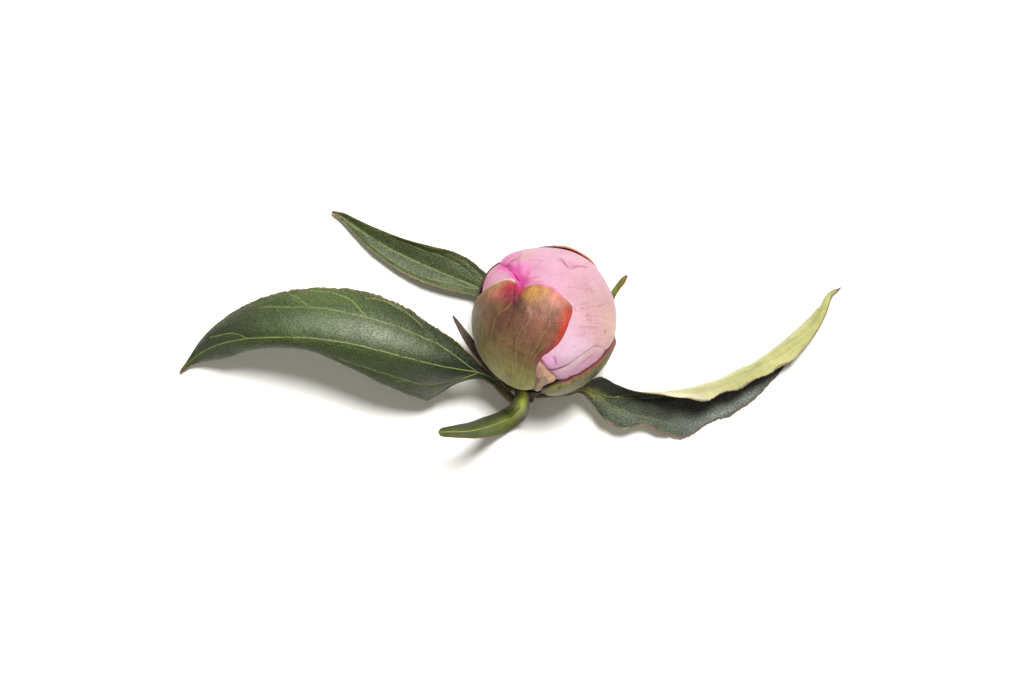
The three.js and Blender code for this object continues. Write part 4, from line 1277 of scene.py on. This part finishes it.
def make_blade(name, leaf, node):
    """A sheet of `size` places along and across, its vein tubes, and paint.
    front and back = sheet + normal * (press +- half the thickness); the back
    is also raised along the midrib and the side veins."""
    rows, columns = leaf["size"]
    seed = leaf["seed"]
    t, s = np.meshgrid(np.linspace(0, 1, rows), np.linspace(-1, 1, columns), indexing="ij")
    s = np.sign(s) * (1 - (1 - np.abs(s)) ** 1.25)              # closer at the margins
    along = t + 3 * (s < 0)                                     # other waves on each half
    torn = wobble(along, leaf["teeth"], seed) + wobble(along, leaf["teeth"] * 3, seed + 9)
    waves, depth = leaf["frill"]
    frill = depth * np.abs(s) ** 4 * (1 + wobble(along, waves, seed + 7)) * ease(0.2, 0.4, t)
    rag = leaf["rag"] * np.abs(s) ** 6 * np.clip(0.5 + 0.3 * torn, 0, 1.3)
    reach = s * (1 - rag - frill)
    sheet, normal = blade_point(leaf, t, reach), blade_normal(leaf, t, reach)
    rim = np.where((s < 0)[..., None], sheet[:, :1], sheet[:, -1:])
    margin = np.linalg.norm(rim - sheet, axis=-1)

    midrib = [(place, 0.0) for place in (leaf["rib_start"], 0.25, 0.5, 0.75, leaf["rib_end"])]
    fine = fine_veins(leaf)
    to_mid = to_veins(leaf, sheet, [midrib], 80)
    to_side = to_veins(leaf, sheet, leaf["veins"])
    to_fine = to_veins(leaf, sheet, fine, 14)
    deep = leaf["deep"] * ease(0.0, 1.5, margin) * ease(0.02, 0.14, t)
    press = deep * (-MIDRIB_GROOVE * near(to_mid, 1.1) - SIDE_GROOVE * near(to_side, 1.2)
                    - 0.06 * near(to_fine, 0.6) + 0.10 * ripple(sheet, 7.0, seed)
                    + 0.025 * ripple(sheet, 2.4, seed + 1))
    thick = leaf["thick"] / 2 * (0.3 + 0.7 * ease(0.0, 0.9, margin))
    rib = leaf["rib"] * (1 - 0.85 * t) * near(to_mid, 0.75)
    stalk = leaf["rib"] * 0.35 * ease(0.16, 0.04, t) * near(to_mid, 0.8)
    raised = 0.16 * near(to_side, 0.35) * deep
    front = sheet + normal * (press + thick + stalk)[..., None]
    back = sheet + normal * (press - thick - rib - raised)[..., None]

    gloss = np.full(t.shape, DULL)
    for t0, s0, a, b, amount in leaf["gloss"]:
        gloss = gloss + amount * near(t - t0, a) * near(s - s0, b)
    patches = (1.0 + 0.12 * ripple(sheet, 9.0, seed + 2) + 0.08 * ripple(sheet, 3.0, seed + 3)
               + 0.09 * ripple(sheet, 0.9, seed + 4))
    brown = 1.0 + 0.6 * wobble(t + 5 * (s < 0), leaf["teeth"] * 0.6, seed + 5)
    brown = np.maximum(leaf["edge_width"] * brown, 0.08)
    strong = np.minimum(to_side, to_mid)
    tints = []
    for face in ("top", "under"):
        base, glow, line = (seen(*colour) for colour in leaf[face])
        c = mix(base * patches[..., None], glow, 0.3 * near(strong, 0.45))
        c = mix(c, glow, 0.25 * near(to_fine, 0.25) * ease(0.0, 0.6, margin))
        c = touch(c, t, s, leaf["dabs"].get(face, ()))
        c = mix(c, line, 0.45 * near(strong, 0.16) * ease(0.04, 0.2, t))
        c = mix(c, seen(*leaf["edge"]), 0.85 * ease(1.0, 0.3, margin / brown))
        tints.append(with_share(c.reshape(-1, 3), gloss.ravel()))
    flat = np.stack([0.5 + 0.5 * s, t], -1).reshape(-1, 2)
    piece = make_piece(name, np.concatenate([front.reshape(-1, 3), back.reshape(-1, 3)]),
                       [sheet_faces(rows, columns)], np.concatenate(tints),
                       np.concatenate([flat, flat]), node, [leaf["skin"], "under"])
    half = (rows - 1) * (columns - 1)
    which = np.zeros(len(piece.data.polygons), np.int32)
    which[half: 2 * half] = 1                       # the back of the sheet
    piece.data.polygons.foreach_set("material_index", which)
    print(name, "-", 2 * rows * columns, "points,", len(leaf["veins"]) + 1, "strong veins,",
          len(fine), "fine")
    make_veins(name + "_veins", leaf, midrib)


def make_veins(name, leaf, midrib, rings=60, sides=8):
    """All tubes of a blade in one mesh: the midrib, the side veins and the
    twigs, and the same again on the back, where veins stand higher."""
    drawn = [(midrib, leaf["midrib"], MIDRIB_GROOVE)]
    drawn += [(path, leaf["side_vein"], SIDE_GROOVE) for path in leaf["veins"]]
    drawn += [(path, 0.6 * leaf["side_vein"], 0.0) for path in leaf["twigs"]]
    grids, faces, tints = [], [], []
    for path, radius, groove in drawn:
        line, normals = vein_line(leaf, path, rings)
        t = smooth_line(path, np.linspace(0, 1, rings))[:, 0]
        sunk = 0.05 * radius - groove * leaf["deep"] * ease(0.02, 0.14, t)
        heights = {"top": leaf["thick"] / 2 + sunk - 0.35 * radius,
                   "under": leaf["thick"] / 2 - 0.6 * sunk + 0.05}
        if path is midrib:
            heights["under"] = heights["under"] + leaf["rib"] * (1 - 0.85 * t) - 0.15
        for face, way in (("top", 1.0), ("under", -1.0)):
            middle = line + normals * (way * heights[face])[:, None]
            faces.append(tube_faces(rings, len(grids) * rings * sides))
            grids.append(tube_points(middle, normals, radius, sides).reshape(-1, 3))
            glow, light = (seen(*colour) for colour in leaf[face][1:])
            shade = mix(np.tile(glow, (rings, 1)), light, ease(0.05, 0.25, t))
            tints.append(np.repeat(shade, sides, axis=0))
    points = np.concatenate(grids)
    make_piece(name, points, [np.concatenate(faces)], np.concatenate(tints),
               points[:, :2] * 0.02, None, ["vein"])


BLADE = {"face": 1.0, "wave": 0.0, "rag": 0.02, "teeth": 22, "deep": 1.0, "thick": 0.45,
         "rib": 0.9, "midrib": 0.22, "side_vein": 0.10, "fine": 26, "slant": 0.10,
         "rib_start": 0.0, "rib_end": 0.97, "edge": (156, 130, 98), "edge_width": 0.3,
         "dabs": {}, "gloss": [], "veins": [], "twigs": [], "frill": (8, 0.01), "skin": "leaf"}
print("blade settings:", sorted(BLADE))

# %% [markdown]
# ### The left leaf
#
# The long leaf on the left arches up to 28 mm and bows down again to its
# tip, so most of its shadow lies far from it. Its upper half is lit and
# greyish with gloss, and part of that grey is painted sheen; its lower
# half falls away and is darker, with painted shade there and near the
# bud. The margin is a little torn and tan.

# %% Left leaf
LEFT_RAILS = [
    ((2.2, -21.3, 13.2), (1.6, -22.1, 12.9), (0.5, -23.1, 12.4)),
    ((-1.4, -17.5, 14.7), (-2.1, -18.2, 14.4), (-3.2, -19.5, 13.9)),
    ((-4, -14.8, 16.4), (-4.7, -15.6, 16), (-5.7, -17.0, 15.1)),
    ((-7.6, -12.1, 18), (-8.5, -13.9, 17.6), (-9.6, -15.4, 15.4)),
    ((-11.5, -8.2, 19.2), (-13.7, -12.9, 20.2), (-14.4, -16.6, 14.2)),
    ((-16.5, -3.7, 20.6), (-19.5, -11.8, 22.6), (-19, -19.5, 10.4)),
    ((-22.3, 0.4, 21.6), (-25.2, -10.4, 24.6), (-23.3, -21.6, 8.6)),
    ((-29.5, 5, 22), (-32, -8.6, 26.6), (-28.2, -20.3, 13.4)),
    ((-38.1, 8.7, 22), (-39.9, -6.5, 28), (-36, -17, 19)),
    ((-47.2, 10.3, 21.4), (-48.1, -4.9, 28.4), (-46.6, -11.2, 22.6)),
    ((-56.8, 10, 20), (-56.4, -4, 27.4), (-54.8, -7.6, 23.6)),
    ((-66.5, 8.3, 17.6), (-65, -3.9, 24.6), (-63.7, -6.8, 20.8)),
    ((-75.5, 5, 14.2), (-73.5, -4.3, 20), (-72.6, -7.4, 15.8)),
    ((-83, -0.1, 10.4), (-81.2, -5.7, 14), (-80.7, -9.8, 9)),
    ((-88.1, -5, 6.6), (-87.3, -8.1, 7.8), (-86.6, -10.7, 4.6)),
    ((-91.9, -10, 3.2), (-91.7, -11, 3.2), (-91.2, -12, 2.2)),
    ((-94.7, -13.6, 0.9), (-94.5, -13.9, 0.9), (-94.3, -14.2, 0.8))]

make_blade("left_leaf", dict(
    BLADE, rails=LEFT_RAILS, bulge=(1.4, 0.9), wave=0.25, size=(340, 91), seed=40, fine=34,
    top=((66, 82, 40), (100, 116, 58), (162, 176, 104)), edge_width=0.5,
    under=((128, 140, 104), (150, 160, 110), (176, 182, 120)), rag=0.035, teeth=24,
    midrib=0.13, side_vein=0.068,
    twigs=[[(0.644, -0.75), (0.636, -0.65), (0.626, -0.57)],
           [(0.479, -0.9), (0.449, -0.85), (0.407, -0.82), (0.384, -0.75)],
           [(0.618, -0.97), (0.581, -0.93), (0.543, -0.85), (0.519, -0.68), (0.503, -0.52)],
           [(0.694, -0.72), (0.678, -0.6), (0.666, -0.42)], [(0.73, -0.55), (0.726, -0.32), (0.71, -0.1)],
           [(0.813, -0.8), (0.793, -0.68), (0.775, -0.52)], [(0.67, -0.6), (0.70, -0.66), (0.74, -0.76)],
           [(0.34, -0.56), (0.36, -0.68), (0.39, -0.74)], [(0.56, -0.5), (0.585, -0.38), (0.60, -0.2)],
           [(0.43, 0.53), (0.46, 0.66), (0.48, 0.82)], [(0.33, 0.54), (0.345, 0.68), (0.36, 0.82)]],
    veins=[[(0.20, -0.12), (0.24, -0.34), (0.282, -0.47), (0.341, -0.56), (0.407, -0.53), (0.467, -0.50),
            (0.538, -0.50), (0.598, -0.55), (0.64, -0.57), (0.676, -0.62), (0.70, -0.70)],
           [(0.506, -0.50), (0.524, -0.63), (0.541, -0.76), (0.575, -0.86), (0.618, -0.92)],
           [(0.389, -0.78), (0.416, -0.85), (0.440, -0.89), (0.471, -0.90), (0.513, -0.85)],
           [(0.613, -0.55), (0.626, -0.65), (0.638, -0.77), (0.652, -0.88)],
           [(0.748, 0.0), (0.763, -0.15), (0.781, -0.25), (0.805, -0.33), (0.831, -0.47)],
           [(0.19, 0.05), (0.232, 0.45), (0.284, 0.55), (0.374, 0.53), (0.454, 0.53), (0.526, 0.60),
            (0.565, 0.76)],
           [(0.217, 0.40), (0.25, 0.70), (0.30, 0.84), (0.345, 0.92)]],
    gloss=[(0.47, -0.27, 0.14, 0.22, 0.22), (0.35, 0.6, 0.05, 0.25, 0.35)],
    dabs={"top": [(0.60, -0.85, 0.11, 0.3, (98, 116, 66), 0.6),
                  # Painted shade: the darker lower half, which falls away from the lamp.
                  (0.52, 0.6, 0.3, 0.5, (64, 76, 44), 0.7),
                  (0.42, -0.9, 0.11, 0.3, (50, 62, 34), 0.85),
                  (0.82, -0.5, 0.13, 0.7, (40, 50, 22), 0.9),
                  # Painted sheen: the two pale grey dabs below, between the midrib and the upper side
                  # vein.
                  (0.45, -0.26, 0.12, 0.2, (136, 146, 122), 0.7),
                  (0.59, -0.27, 0.10, 0.2, (120, 132, 104), 0.6),
                  # Painted shade: very dark near the bud.
                  (0.21, -0.35, 0.14, 1.2, (30, 35, 30), 0.96),
                  # Painted sheen: a greyish dab on the lower bulge.
                  (0.37, 0.62, 0.07, 0.3, (88, 96, 76), 0.5),
                  (0.0, 0.0, 0.08, 2.0, (104, 98, 50), 0.95),
                  (0.08, 1.0, 0.10, 0.25, (188, 180, 132), 0.7),
                  (0.02, -1.0, 0.08, 0.3, (206, 198, 150), 0.9),
                  (0.50, 1.0, 0.12, 0.07, (150, 118, 84), 0.6),
                  (0.46, -1.0, 0.1, 0.05, (140, 128, 88), 0.5),
                  (1.0, 0.0, 0.04, 2.0, (140, 84, 64), 0.8),
                  (0.86, 0.5, 0.08, 0.4, (56, 66, 40), 0.6)],
          "under": [(1.0, 0.0, 0.05, 2.0, (150, 84, 64), 0.8)]}),
    "leaf_left")

# %% [markdown]
# ### The upper leaf
#
# The shorter leaf above it lies low, with its margins turned up like a
# gutter, and has a grey gloss. Part of that grey is painted sheen; its
# upper half and its base under the bud carry painted shade.

# %% Upper leaf
UPPER_RAILS = [
    ((2.6, -19, 10.2), (2.1, -19.6, 9.7), (1.5, -20.2, 9.3)),
    ((0.3, -14.9, 6.9), (-0.4, -15.4, 6.5), (-1.1, -15.8, 6.1)),
    ((-1.9, -8.3, 3.5), (-2.9, -8.6, 3.3), (-3.9, -8.9, 3.1)),
    ((-3.7, -0, 3), (-4.8, -0.6, 2.8), (-5.9, -1.1, 2.8)),
    ((-4.4, 7.4, 3.4), (-6.8, 5.7, 2.4), (-8.4, 4.6, 3.2)),
    ((-5.5, 12.7, 4.4), (-9.1, 10.1, 2.1), (-10.1, 7.7, 4.4)),
    ((-9.5, 16.9, 4.9), (-13.5, 12.2, 1.7), (-13.8, 8.8, 4.8)),
    ((-14.9, 20.2, 4.9), (-19.8, 14.7, 1.5), (-19.7, 10.2, 4.8)),
    ((-22.3, 22.2, 4.4), (-27, 17.9, 1.4), (-26, 12.1, 4.2)),
    ((-30.9, 24.6, 3.9), (-34.1, 21.3, 1.3), (-32.6, 15.8, 3.7)),
    ((-38, 27.2, 3.3), (-40.1, 24.9, 1.3), (-39.7, 20.8, 3.1)),
    ((-43.8, 30, 2.7), (-45, 28.2, 1.3), (-44.9, 26, 2.4)),
    ((-47.5, 31.7, 2.2), (-48.1, 30.5, 1.4), (-48.1, 29.3, 1.9)),
    ((-51, 32.4, 1.7), (-51.1, 32, 1.6), (-51, 31.6, 1.6))]

make_blade("upper_leaf", dict(
    BLADE, rails=UPPER_RAILS, bulge=(-0.5, -0.4), wave=0.2, size=(240, 81), seed=60, fine=26,
    midrib=0.13, side_vein=0.065, edge_width=0.45,
    top=((84, 98, 58), (104, 116, 72), (156, 166, 114)),
    under=((128, 140, 108), (148, 158, 112), (172, 178, 122)),
    veins=[[(0.34, 0.0), (0.384, -0.22), (0.42, -0.34), (0.456, -0.42), (0.494, -0.52), (0.534, -0.57),
            (0.573, -0.60), (0.618, -0.60), (0.659, -0.65), (0.703, -0.68)],
           [(0.34, 0.0), (0.36, 0.35), (0.386, 0.66), (0.436, 0.82), (0.471, 0.80), (0.508, 0.78),
            (0.559, 0.88), (0.611, 0.93), (0.651, 0.93), (0.693, 0.88)],
           [(0.36, -0.1), (0.387, -0.45), (0.446, -0.70), (0.477, -0.78), (0.514, -0.85), (0.56, -0.84)],
           [(0.38, 0.0), (0.427, 0.28), (0.491, 0.38), (0.541, 0.50), (0.591, 0.62), (0.641, 0.62),
            (0.689, 0.58), (0.736, 0.53), (0.78, 0.50)]],
    gloss=[(0.44, -0.5, 0.06, 0.35, 0.35)],
    # The first dab below, a darker upper half that tilts away from the lamp, is painted shade.
    dabs={"top": [(0.66, -0.4, 0.14, 0.24, (64, 73, 48), 0.7),
                  # Painted sheen near the bud.
                  (0.44, -0.5, 0.07, 0.3, (110, 116, 92), 0.6),
                  # Painted sheen on the lower half.
                  (0.70, 0.4, 0.14, 0.35, (92, 102, 82), 0.5),
                  (0.55, 1.0, 0.25, 0.07, (180, 170, 132), 0.8),
                  # Painted sheen on the lower half.
                  (0.48, 0.4, 0.2, 0.35, (112, 120, 98), 0.5),
                  # Painted sheen by the upper margin.
                  (0.42, -0.7, 0.08, 0.3, (120, 128, 108), 0.6),
                  # Painted shade: dark at the base, which lies under the bud.
                  (0.1, 0.0, 0.1, 2.0, (52, 56, 44), 0.8),
                  (1.0, 0.0, 0.04, 2.0, (140, 96, 70), 0.7)]}),
    "leaf_upper")

# %% [markdown]
# ### The right leaf
#
# The right leaf lies on the surface with one half folded over the other.
# The fold shows the pale underside of the far half; the near half shows
# its dark face. Its paint holds painted sheen on the near half, painted
# shade under the flap and on the far half by the bud, and painted
# highlights at the start of the midrib and along the fold. Its rails run
# the other way round, so its face is -1.

# %% Right leaf
RIGHT_RAILS = [
    ((7.5, -20, 12.1), (7.3, -20.6, 11.5), (7.2, -21.2, 10.9)),
    ((11.3, -19.8, 11.1), (11.2, -20.4, 10.5), (11.1, -21, 9.9)),
    ((16.4, -18.9, 10.7), (16.3, -19.5, 10.1), (16.2, -20.3, 9.6)),
    ((21, -16.8, 11.4), (20.4, -18.6, 9.8), (19.7, -19.6, 9.2)),
    ((25.2, -15, 13.2), (24.5, -19.8, 9), (22.8, -22.7, 8)),
    ((29.4, -16.8, 13.6), (29.1, -20.9, 8.4), (26, -27, 6.8)),
    ((34.5, -18.6, 13.6), (34.8, -21.2, 7.2), (30.6, -30, 6.6)),
    ((40.6, -19.9, 13.4), (41.4, -20.9, 5.2), (38, -29.9, 6)),
    ((47.4, -21.2, 13), (48.1, -19.8, 3.4), (45, -32, 3)),
    ((54, -22, 12), (54.5, -18.1, 2.2), (52, -32.3, 0.7)),
    ((60.5, -19.8, 11), (61.7, -15.7, 1.7), (60.6, -28.1, 0.6)),
    ((67.1, -17.7, 10), (68.8, -12.3, 1.4), (67.5, -23.8, 0.6)),
    ((73.2, -14.8, 8.6), (75.1, -8, 1.3), (73.8, -18.3, 0.7)),
    ((79, -11, 7), (80.9, -3.3, 1.3), (78.6, -12.3, 0.8)),
    ((85.2, -6.0, 5.2), (86.1, 1.4, 1.3), (83.6, -4.2, 0.8)),
    ((90.4, 3.0, 3.6), (88.9, 4.6, 1.3), (88.8, 3.8, 0.8)),
    ((92.1, 7.9, 2.4), (91.4, 8.5, 1.4), (91.6, 7.9, 0.9)),
    ((94.5, 10.2, 1.6), (94.6, 10.5, 1.4), (94.6, 10.4, 1))]

make_blade("right_leaf", dict(
    BLADE, rails=RIGHT_RAILS, bulge=(-0.7, -0.5), wave=-0.3, face=-1.0, size=(340, 81), seed=80,
    fine=40, frill=(9, 0.05), rag=0.03, edge_width=0.6,
    gloss=[(0.34, 0.5, 0.05, 0.22, 0.4), (0.59, 0.75, 0.10, 0.2, 0.5), (0.2, 0.1, 0.05, 0.2, 0.5)],
    slant=0.08, thick=0.42, midrib=0.14, side_vein=0.08,
    top=((60, 68, 52), (76, 86, 56), (120, 130, 82)),
    under=((184, 184, 122), (194, 196, 130), (204, 204, 138)),
    veins=[[(0.20, 0.0), (0.275, 0.30), (0.347, 0.42), (0.391, 0.58), (0.427, 0.66), (0.467, 0.68)],
           [(0.399, 0.73), (0.426, 0.80), (0.454, 0.88)],
           [(0.30, 0.0), (0.36, -0.3), (0.44, -0.52), (0.54, -0.68), (0.64, -0.8)],
           [(0.44, 0.0), (0.52, -0.26), (0.62, -0.46), (0.74, -0.62), (0.82, -0.74)],
           [(0.60, 0.0), (0.68, -0.22), (0.78, -0.42), (0.88, -0.6)]],
    edge=(128, 100, 84),
    # The first dab below is painted sheen on the near half.
    dabs={"top": [(0.32, 0.45, 0.07, 0.25, (124, 132, 104), 0.6),
                  # Painted sheen: a broad pale grey band along the lower margin.
                  (0.60, 0.74, 0.12, 0.22, (150, 157, 152), 0.75),
                  (0.27, 1.0, 0.17, 0.05, (206, 196, 160), 0.9),
                  # Painted sheen on the near half.
                  (0.40, 0.72, 0.07, 0.16, (104, 112, 96), 0.6),
                  # Painted shade: dark grey on the near half under the folded flap.
                  (0.47, 0.25, 0.14, 0.35, (62, 64, 60), 0.8),
                  # Painted shade: the far half by the bud, which faces away from the lamp.
                  (0.28, -0.45, 0.14, 0.4, (40, 48, 36), 0.8),
                  # Painted highlight: bright yellow at the start of the midrib.
                  (0.19, 0.10, 0.05, 0.26, (240, 242, 124), 0.95),
                  (0.13, 0.2, 0.05, 0.8, (120, 128, 62), 0.6),
                  (0.04, 0.6, 0.10, 0.8, (206, 196, 160), 0.9)],
          "under": [(0.14, 0.0, 0.07, 2.0, (170, 176, 90), 0.8),
                    # Painted highlight: pale cream along the fold of the flap.
                    (0.55, -0.04, 0.34, 0.12, (228, 228, 192), 0.5),
                    (0.40, -0.5, 0.12, 0.5, (222, 220, 182), 0.6),
                    (0.46, -0.9, 0.09, 0.3, (236, 230, 208), 0.7),
                    (0.99, 0.0, 0.03, 2.0, (122, 72, 60), 0.95),
                    (0.86, -0.6, 0.10, 0.4, (176, 178, 104), 0.6)]}),
    "leaf_right")

# %% [markdown]
# ### Bracts
#
# Three narrow bracts grow below the sepals. One stands up in front of the
# stem and bends to the left, one is dark and dry on the left, one lies
# under the bud and looks out on its upper right.

# %% Bracts
FRONT_RAILS = [
    ((2.0, -18.8, 16.8), (4.2, -18.7, 17.6), (5.8, -19, 17)),
    ((1.2, -20.4, 16.4), (3.5, -20.6, 17.4), (5.6, -20.9, 16.8)),
    ((0.2, -22.2, 14.2), (2.9, -23.0, 15.5), (5.3, -23.9, 14.1)),
    ((-1.0, -23.5, 9.2), (1.7, -25.1, 9.8), (4.3, -26.9, 7.6)),
    ((-2.7, -24.6, 6.2), (-0.4, -27.0, 5.2), (1.7, -29.3, 2.6)),
    ((-5.2, -25.6, 7.8), (-3.3, -28.2, 6.0), (-1.8, -31.3, 2.6)),
    ((-7.9, -26.3, 15.2), (-7, -29.1, 13.9), (-6, -31.9, 11.6)),
    ((-11.2, -27.3, 21.4), (-10.8, -29.8, 20.8), (-10.1, -32, 19.4)),
    ((-14.7, -27.9, 26.2), (-14.5, -29.9, 25.9), (-14.1, -31.6, 25)),
    ((-17.6, -28.4, 29), (-17.6, -29.8, 28.9), (-17.4, -31.3, 28.4)),
    ((-19.0, -28.8, 30.4), (-19.2, -29.8, 30.5), (-19.0, -30.8, 30.3)),
    ((-19.5, -29.4, 30.8), (-19.6, -29.8, 30.8), (-19.5, -30.2, 30.7))]
DARK_RAILS = [
    ((1.4, -18, 12.1), (1, -18.5, 11.8), (0.5, -19, 11.4)),
    ((-1.1, -17, 11), (-1.8, -17.6, 10.7), (-2.5, -18.3, 10.2)),
    ((-4, -13.3, 10.3), (-4.8, -14, 10), (-5.7, -14.8, 9.6)),
    ((-6.9, -9.5, 10.3), (-7.7, -10.3, 10), (-8.6, -11.1, 9.6)),
    ((-9.5, -5.6, 11.2), (-10.5, -6.4, 10.8), (-11.5, -7.3, 10.4)),
    ((-12.2, -2.2, 12.4), (-12.9, -2.8, 12.2), (-13.7, -3.5, 12)),
    ((-14.6, 0.9, 13.4), (-15, 0.5, 13.3), (-15.5, 0.1, 13.2)),
    ((-16, 2.4, 14.2), (-16.1, 2.3, 14.2), (-16.3, 2.1, 14.1))]
SMALL_RAILS = [
    ((4.8, -18, 9.7), (5.5, -18.3, 10.1), (6.2, -18.7, 10.5)),
    ((6.9, -16.3, 6.4), (7.8, -16.9, 7), (8.8, -17.4, 7.6)),
    ((10.6, -13.4, 3.2), (11.7, -14, 4), (12.8, -14.7, 4.7)),
    ((14.7, -9, 1.1), (15.9, -9.7, 1.9), (17, -10.5, 2.8)),
    ((18.9, -3.5, 0.7), (19.9, -4.4, 1.6), (20.9, -5.3, 2.4)),
    ((22.9, 1.4, 2.9), (23.7, 0.2, 3.6), (24.5, -1, 4.3)),
    ((26.3, 4.9, 6.9), (27, 3.6, 7.5), (27.6, 2.4, 8.1)),
    ((28, 7.4, 10.5), (28.6, 6.4, 11.1), (29.2, 5.4, 11.7)),
    ((28.1, 8.5, 11.8), (28.7, 7.8, 12.6), (29.3, 7.1, 13.4)),
    ((29.7, 10.9, 12.9), (30.2, 10.2, 13.6), (30.7, 9.5, 14.3)),
    ((31.2, 12.8, 14), (31.7, 12.2, 14.6), (32.2, 11.6, 15.2)),
    ((32.5, 13.7, 15), (32.7, 13.5, 15.2), (32.9, 13.3, 15.4))]

BRACT = dict(BLADE, fine=0, deep=0.45, thick=0.5, rib=0.3, teeth=9, edge_width=0.4, skin="bract")

make_blade("front_bract", dict(
    BRACT, rails=FRONT_RAILS, bulge=(-0.5, -0.5), size=(170, 33), seed=100,
    top=((86, 98, 50), (110, 122, 52), (176, 186, 88)),
    under=((116, 126, 78), (132, 142, 80), (160, 166, 96)),
    edge=(116, 88, 64), edge_width=0.55, midrib=0.2, rib_start=0.19,
    dabs={"top": [(0.34, 0.3, 0.14, 0.5, (112, 132, 44), 0.7),
                  (1.0, 0.0, 0.05, 2.0, (190, 142, 122), 0.95),
                  # Painted highlight on a yellow-green base: the very bright yellow where the bract
                  # starts.
                  (0.12, 0.1, 0.24, 0.5, (236, 244, 92), 1.0),
                  (0.62, -0.7, 0.26, 0.4, (66, 80, 54), 0.75),
                  (0.30, -0.7, 0.14, 0.4, (74, 84, 48), 0.6),
                  (0.25, 0.9, 0.16, 0.25, (70, 80, 46), 0.6)],
          "under": [(1.0, 0.0, 0.05, 2.0, (142, 96, 88), 0.9)]}),
    "bract_front")
make_blade("dark_bract", dict(
    BRACT, rails=DARK_RAILS, bulge=(0.2, 0.2), size=(120, 29), seed=110, midrib=0.2,
    top=((112, 96, 92), (118, 102, 92), (128, 112, 94)),
    under=((80, 74, 60), (92, 86, 66), (106, 98, 72)), edge=(104, 76, 62),
    dabs={"top": [(1.0, 0.0, 0.3, 2.0, (96, 62, 58), 0.8),
                  (0.05, 0.0, 0.14, 2.0, (112, 106, 60), 0.9)]}),
    "bract_dark")
make_blade("small_bract", dict(
    BRACT, rails=SMALL_RAILS, bulge=(0.2, 0.2), face=-1.0, size=(200, 29), seed=120, midrib=0.22,
    top=((122, 132, 56), (140, 148, 66), (168, 174, 90)),
    under=((140, 142, 90), (150, 152, 90), (168, 170, 96)), edge=(140, 98, 64),
    dabs={"top": [(1.0, 0.0, 0.06, 2.0, (150, 84, 60), 0.8)]}),
    "bract_small")

# %% [markdown]
# ## The surface
#
# The bud lies on a plain white surface. It is a stage, not a part of the
# object. A large flat sheet is enough; a very faint unevenness keeps it
# from looking like a hole in the picture.

# %% Surface
FLOOR_HALF = 2500.0
FLOOR_HEIGHT = -0.05               # just below the parts that touch it


def make_surface():
    """Four corners, FLOOR_HALF from the middle; white with faint clouds."""
    corners = np.array([(-1, -1, 0), (1, -1, 0), (1, 1, 0), (-1, 1, 0)], float) * FLOOR_HALF
    mesh = bpy.data.meshes.new("white_surface")
    mesh.from_pydata(((corners + (0, 0, FLOOR_HEIGHT)) * MM).tolist(), [], [(0, 1, 2, 3)])
    surface = bpy.data.objects.new("white_surface", mesh)
    scene.collection.objects.link(surface)
    material = bpy.data.materials.new("white_surface")
    material.use_nodes = True
    tree = material.node_tree
    place = add_node(tree, "ShaderNodeTexCoord")
    cloud = add_node(tree, "ShaderNodeTexNoise", Vector=place.outputs["Object"], Scale=6.0,
                     Detail=3.0)
    white = blend_colours(tree, cloud.outputs["Fac"], (0.86, 0.855, 0.845, 1.0),
                          (0.88, 0.875, 0.865, 1.0))
    for label, value in (("Base Color", white), ("Roughness", 0.7), ("Specular IOR Level", 0.2)):
        set_input(tree, tree.nodes["Principled BSDF"].inputs[label], value)
    mesh.materials.append(material)
    return surface


make_surface()
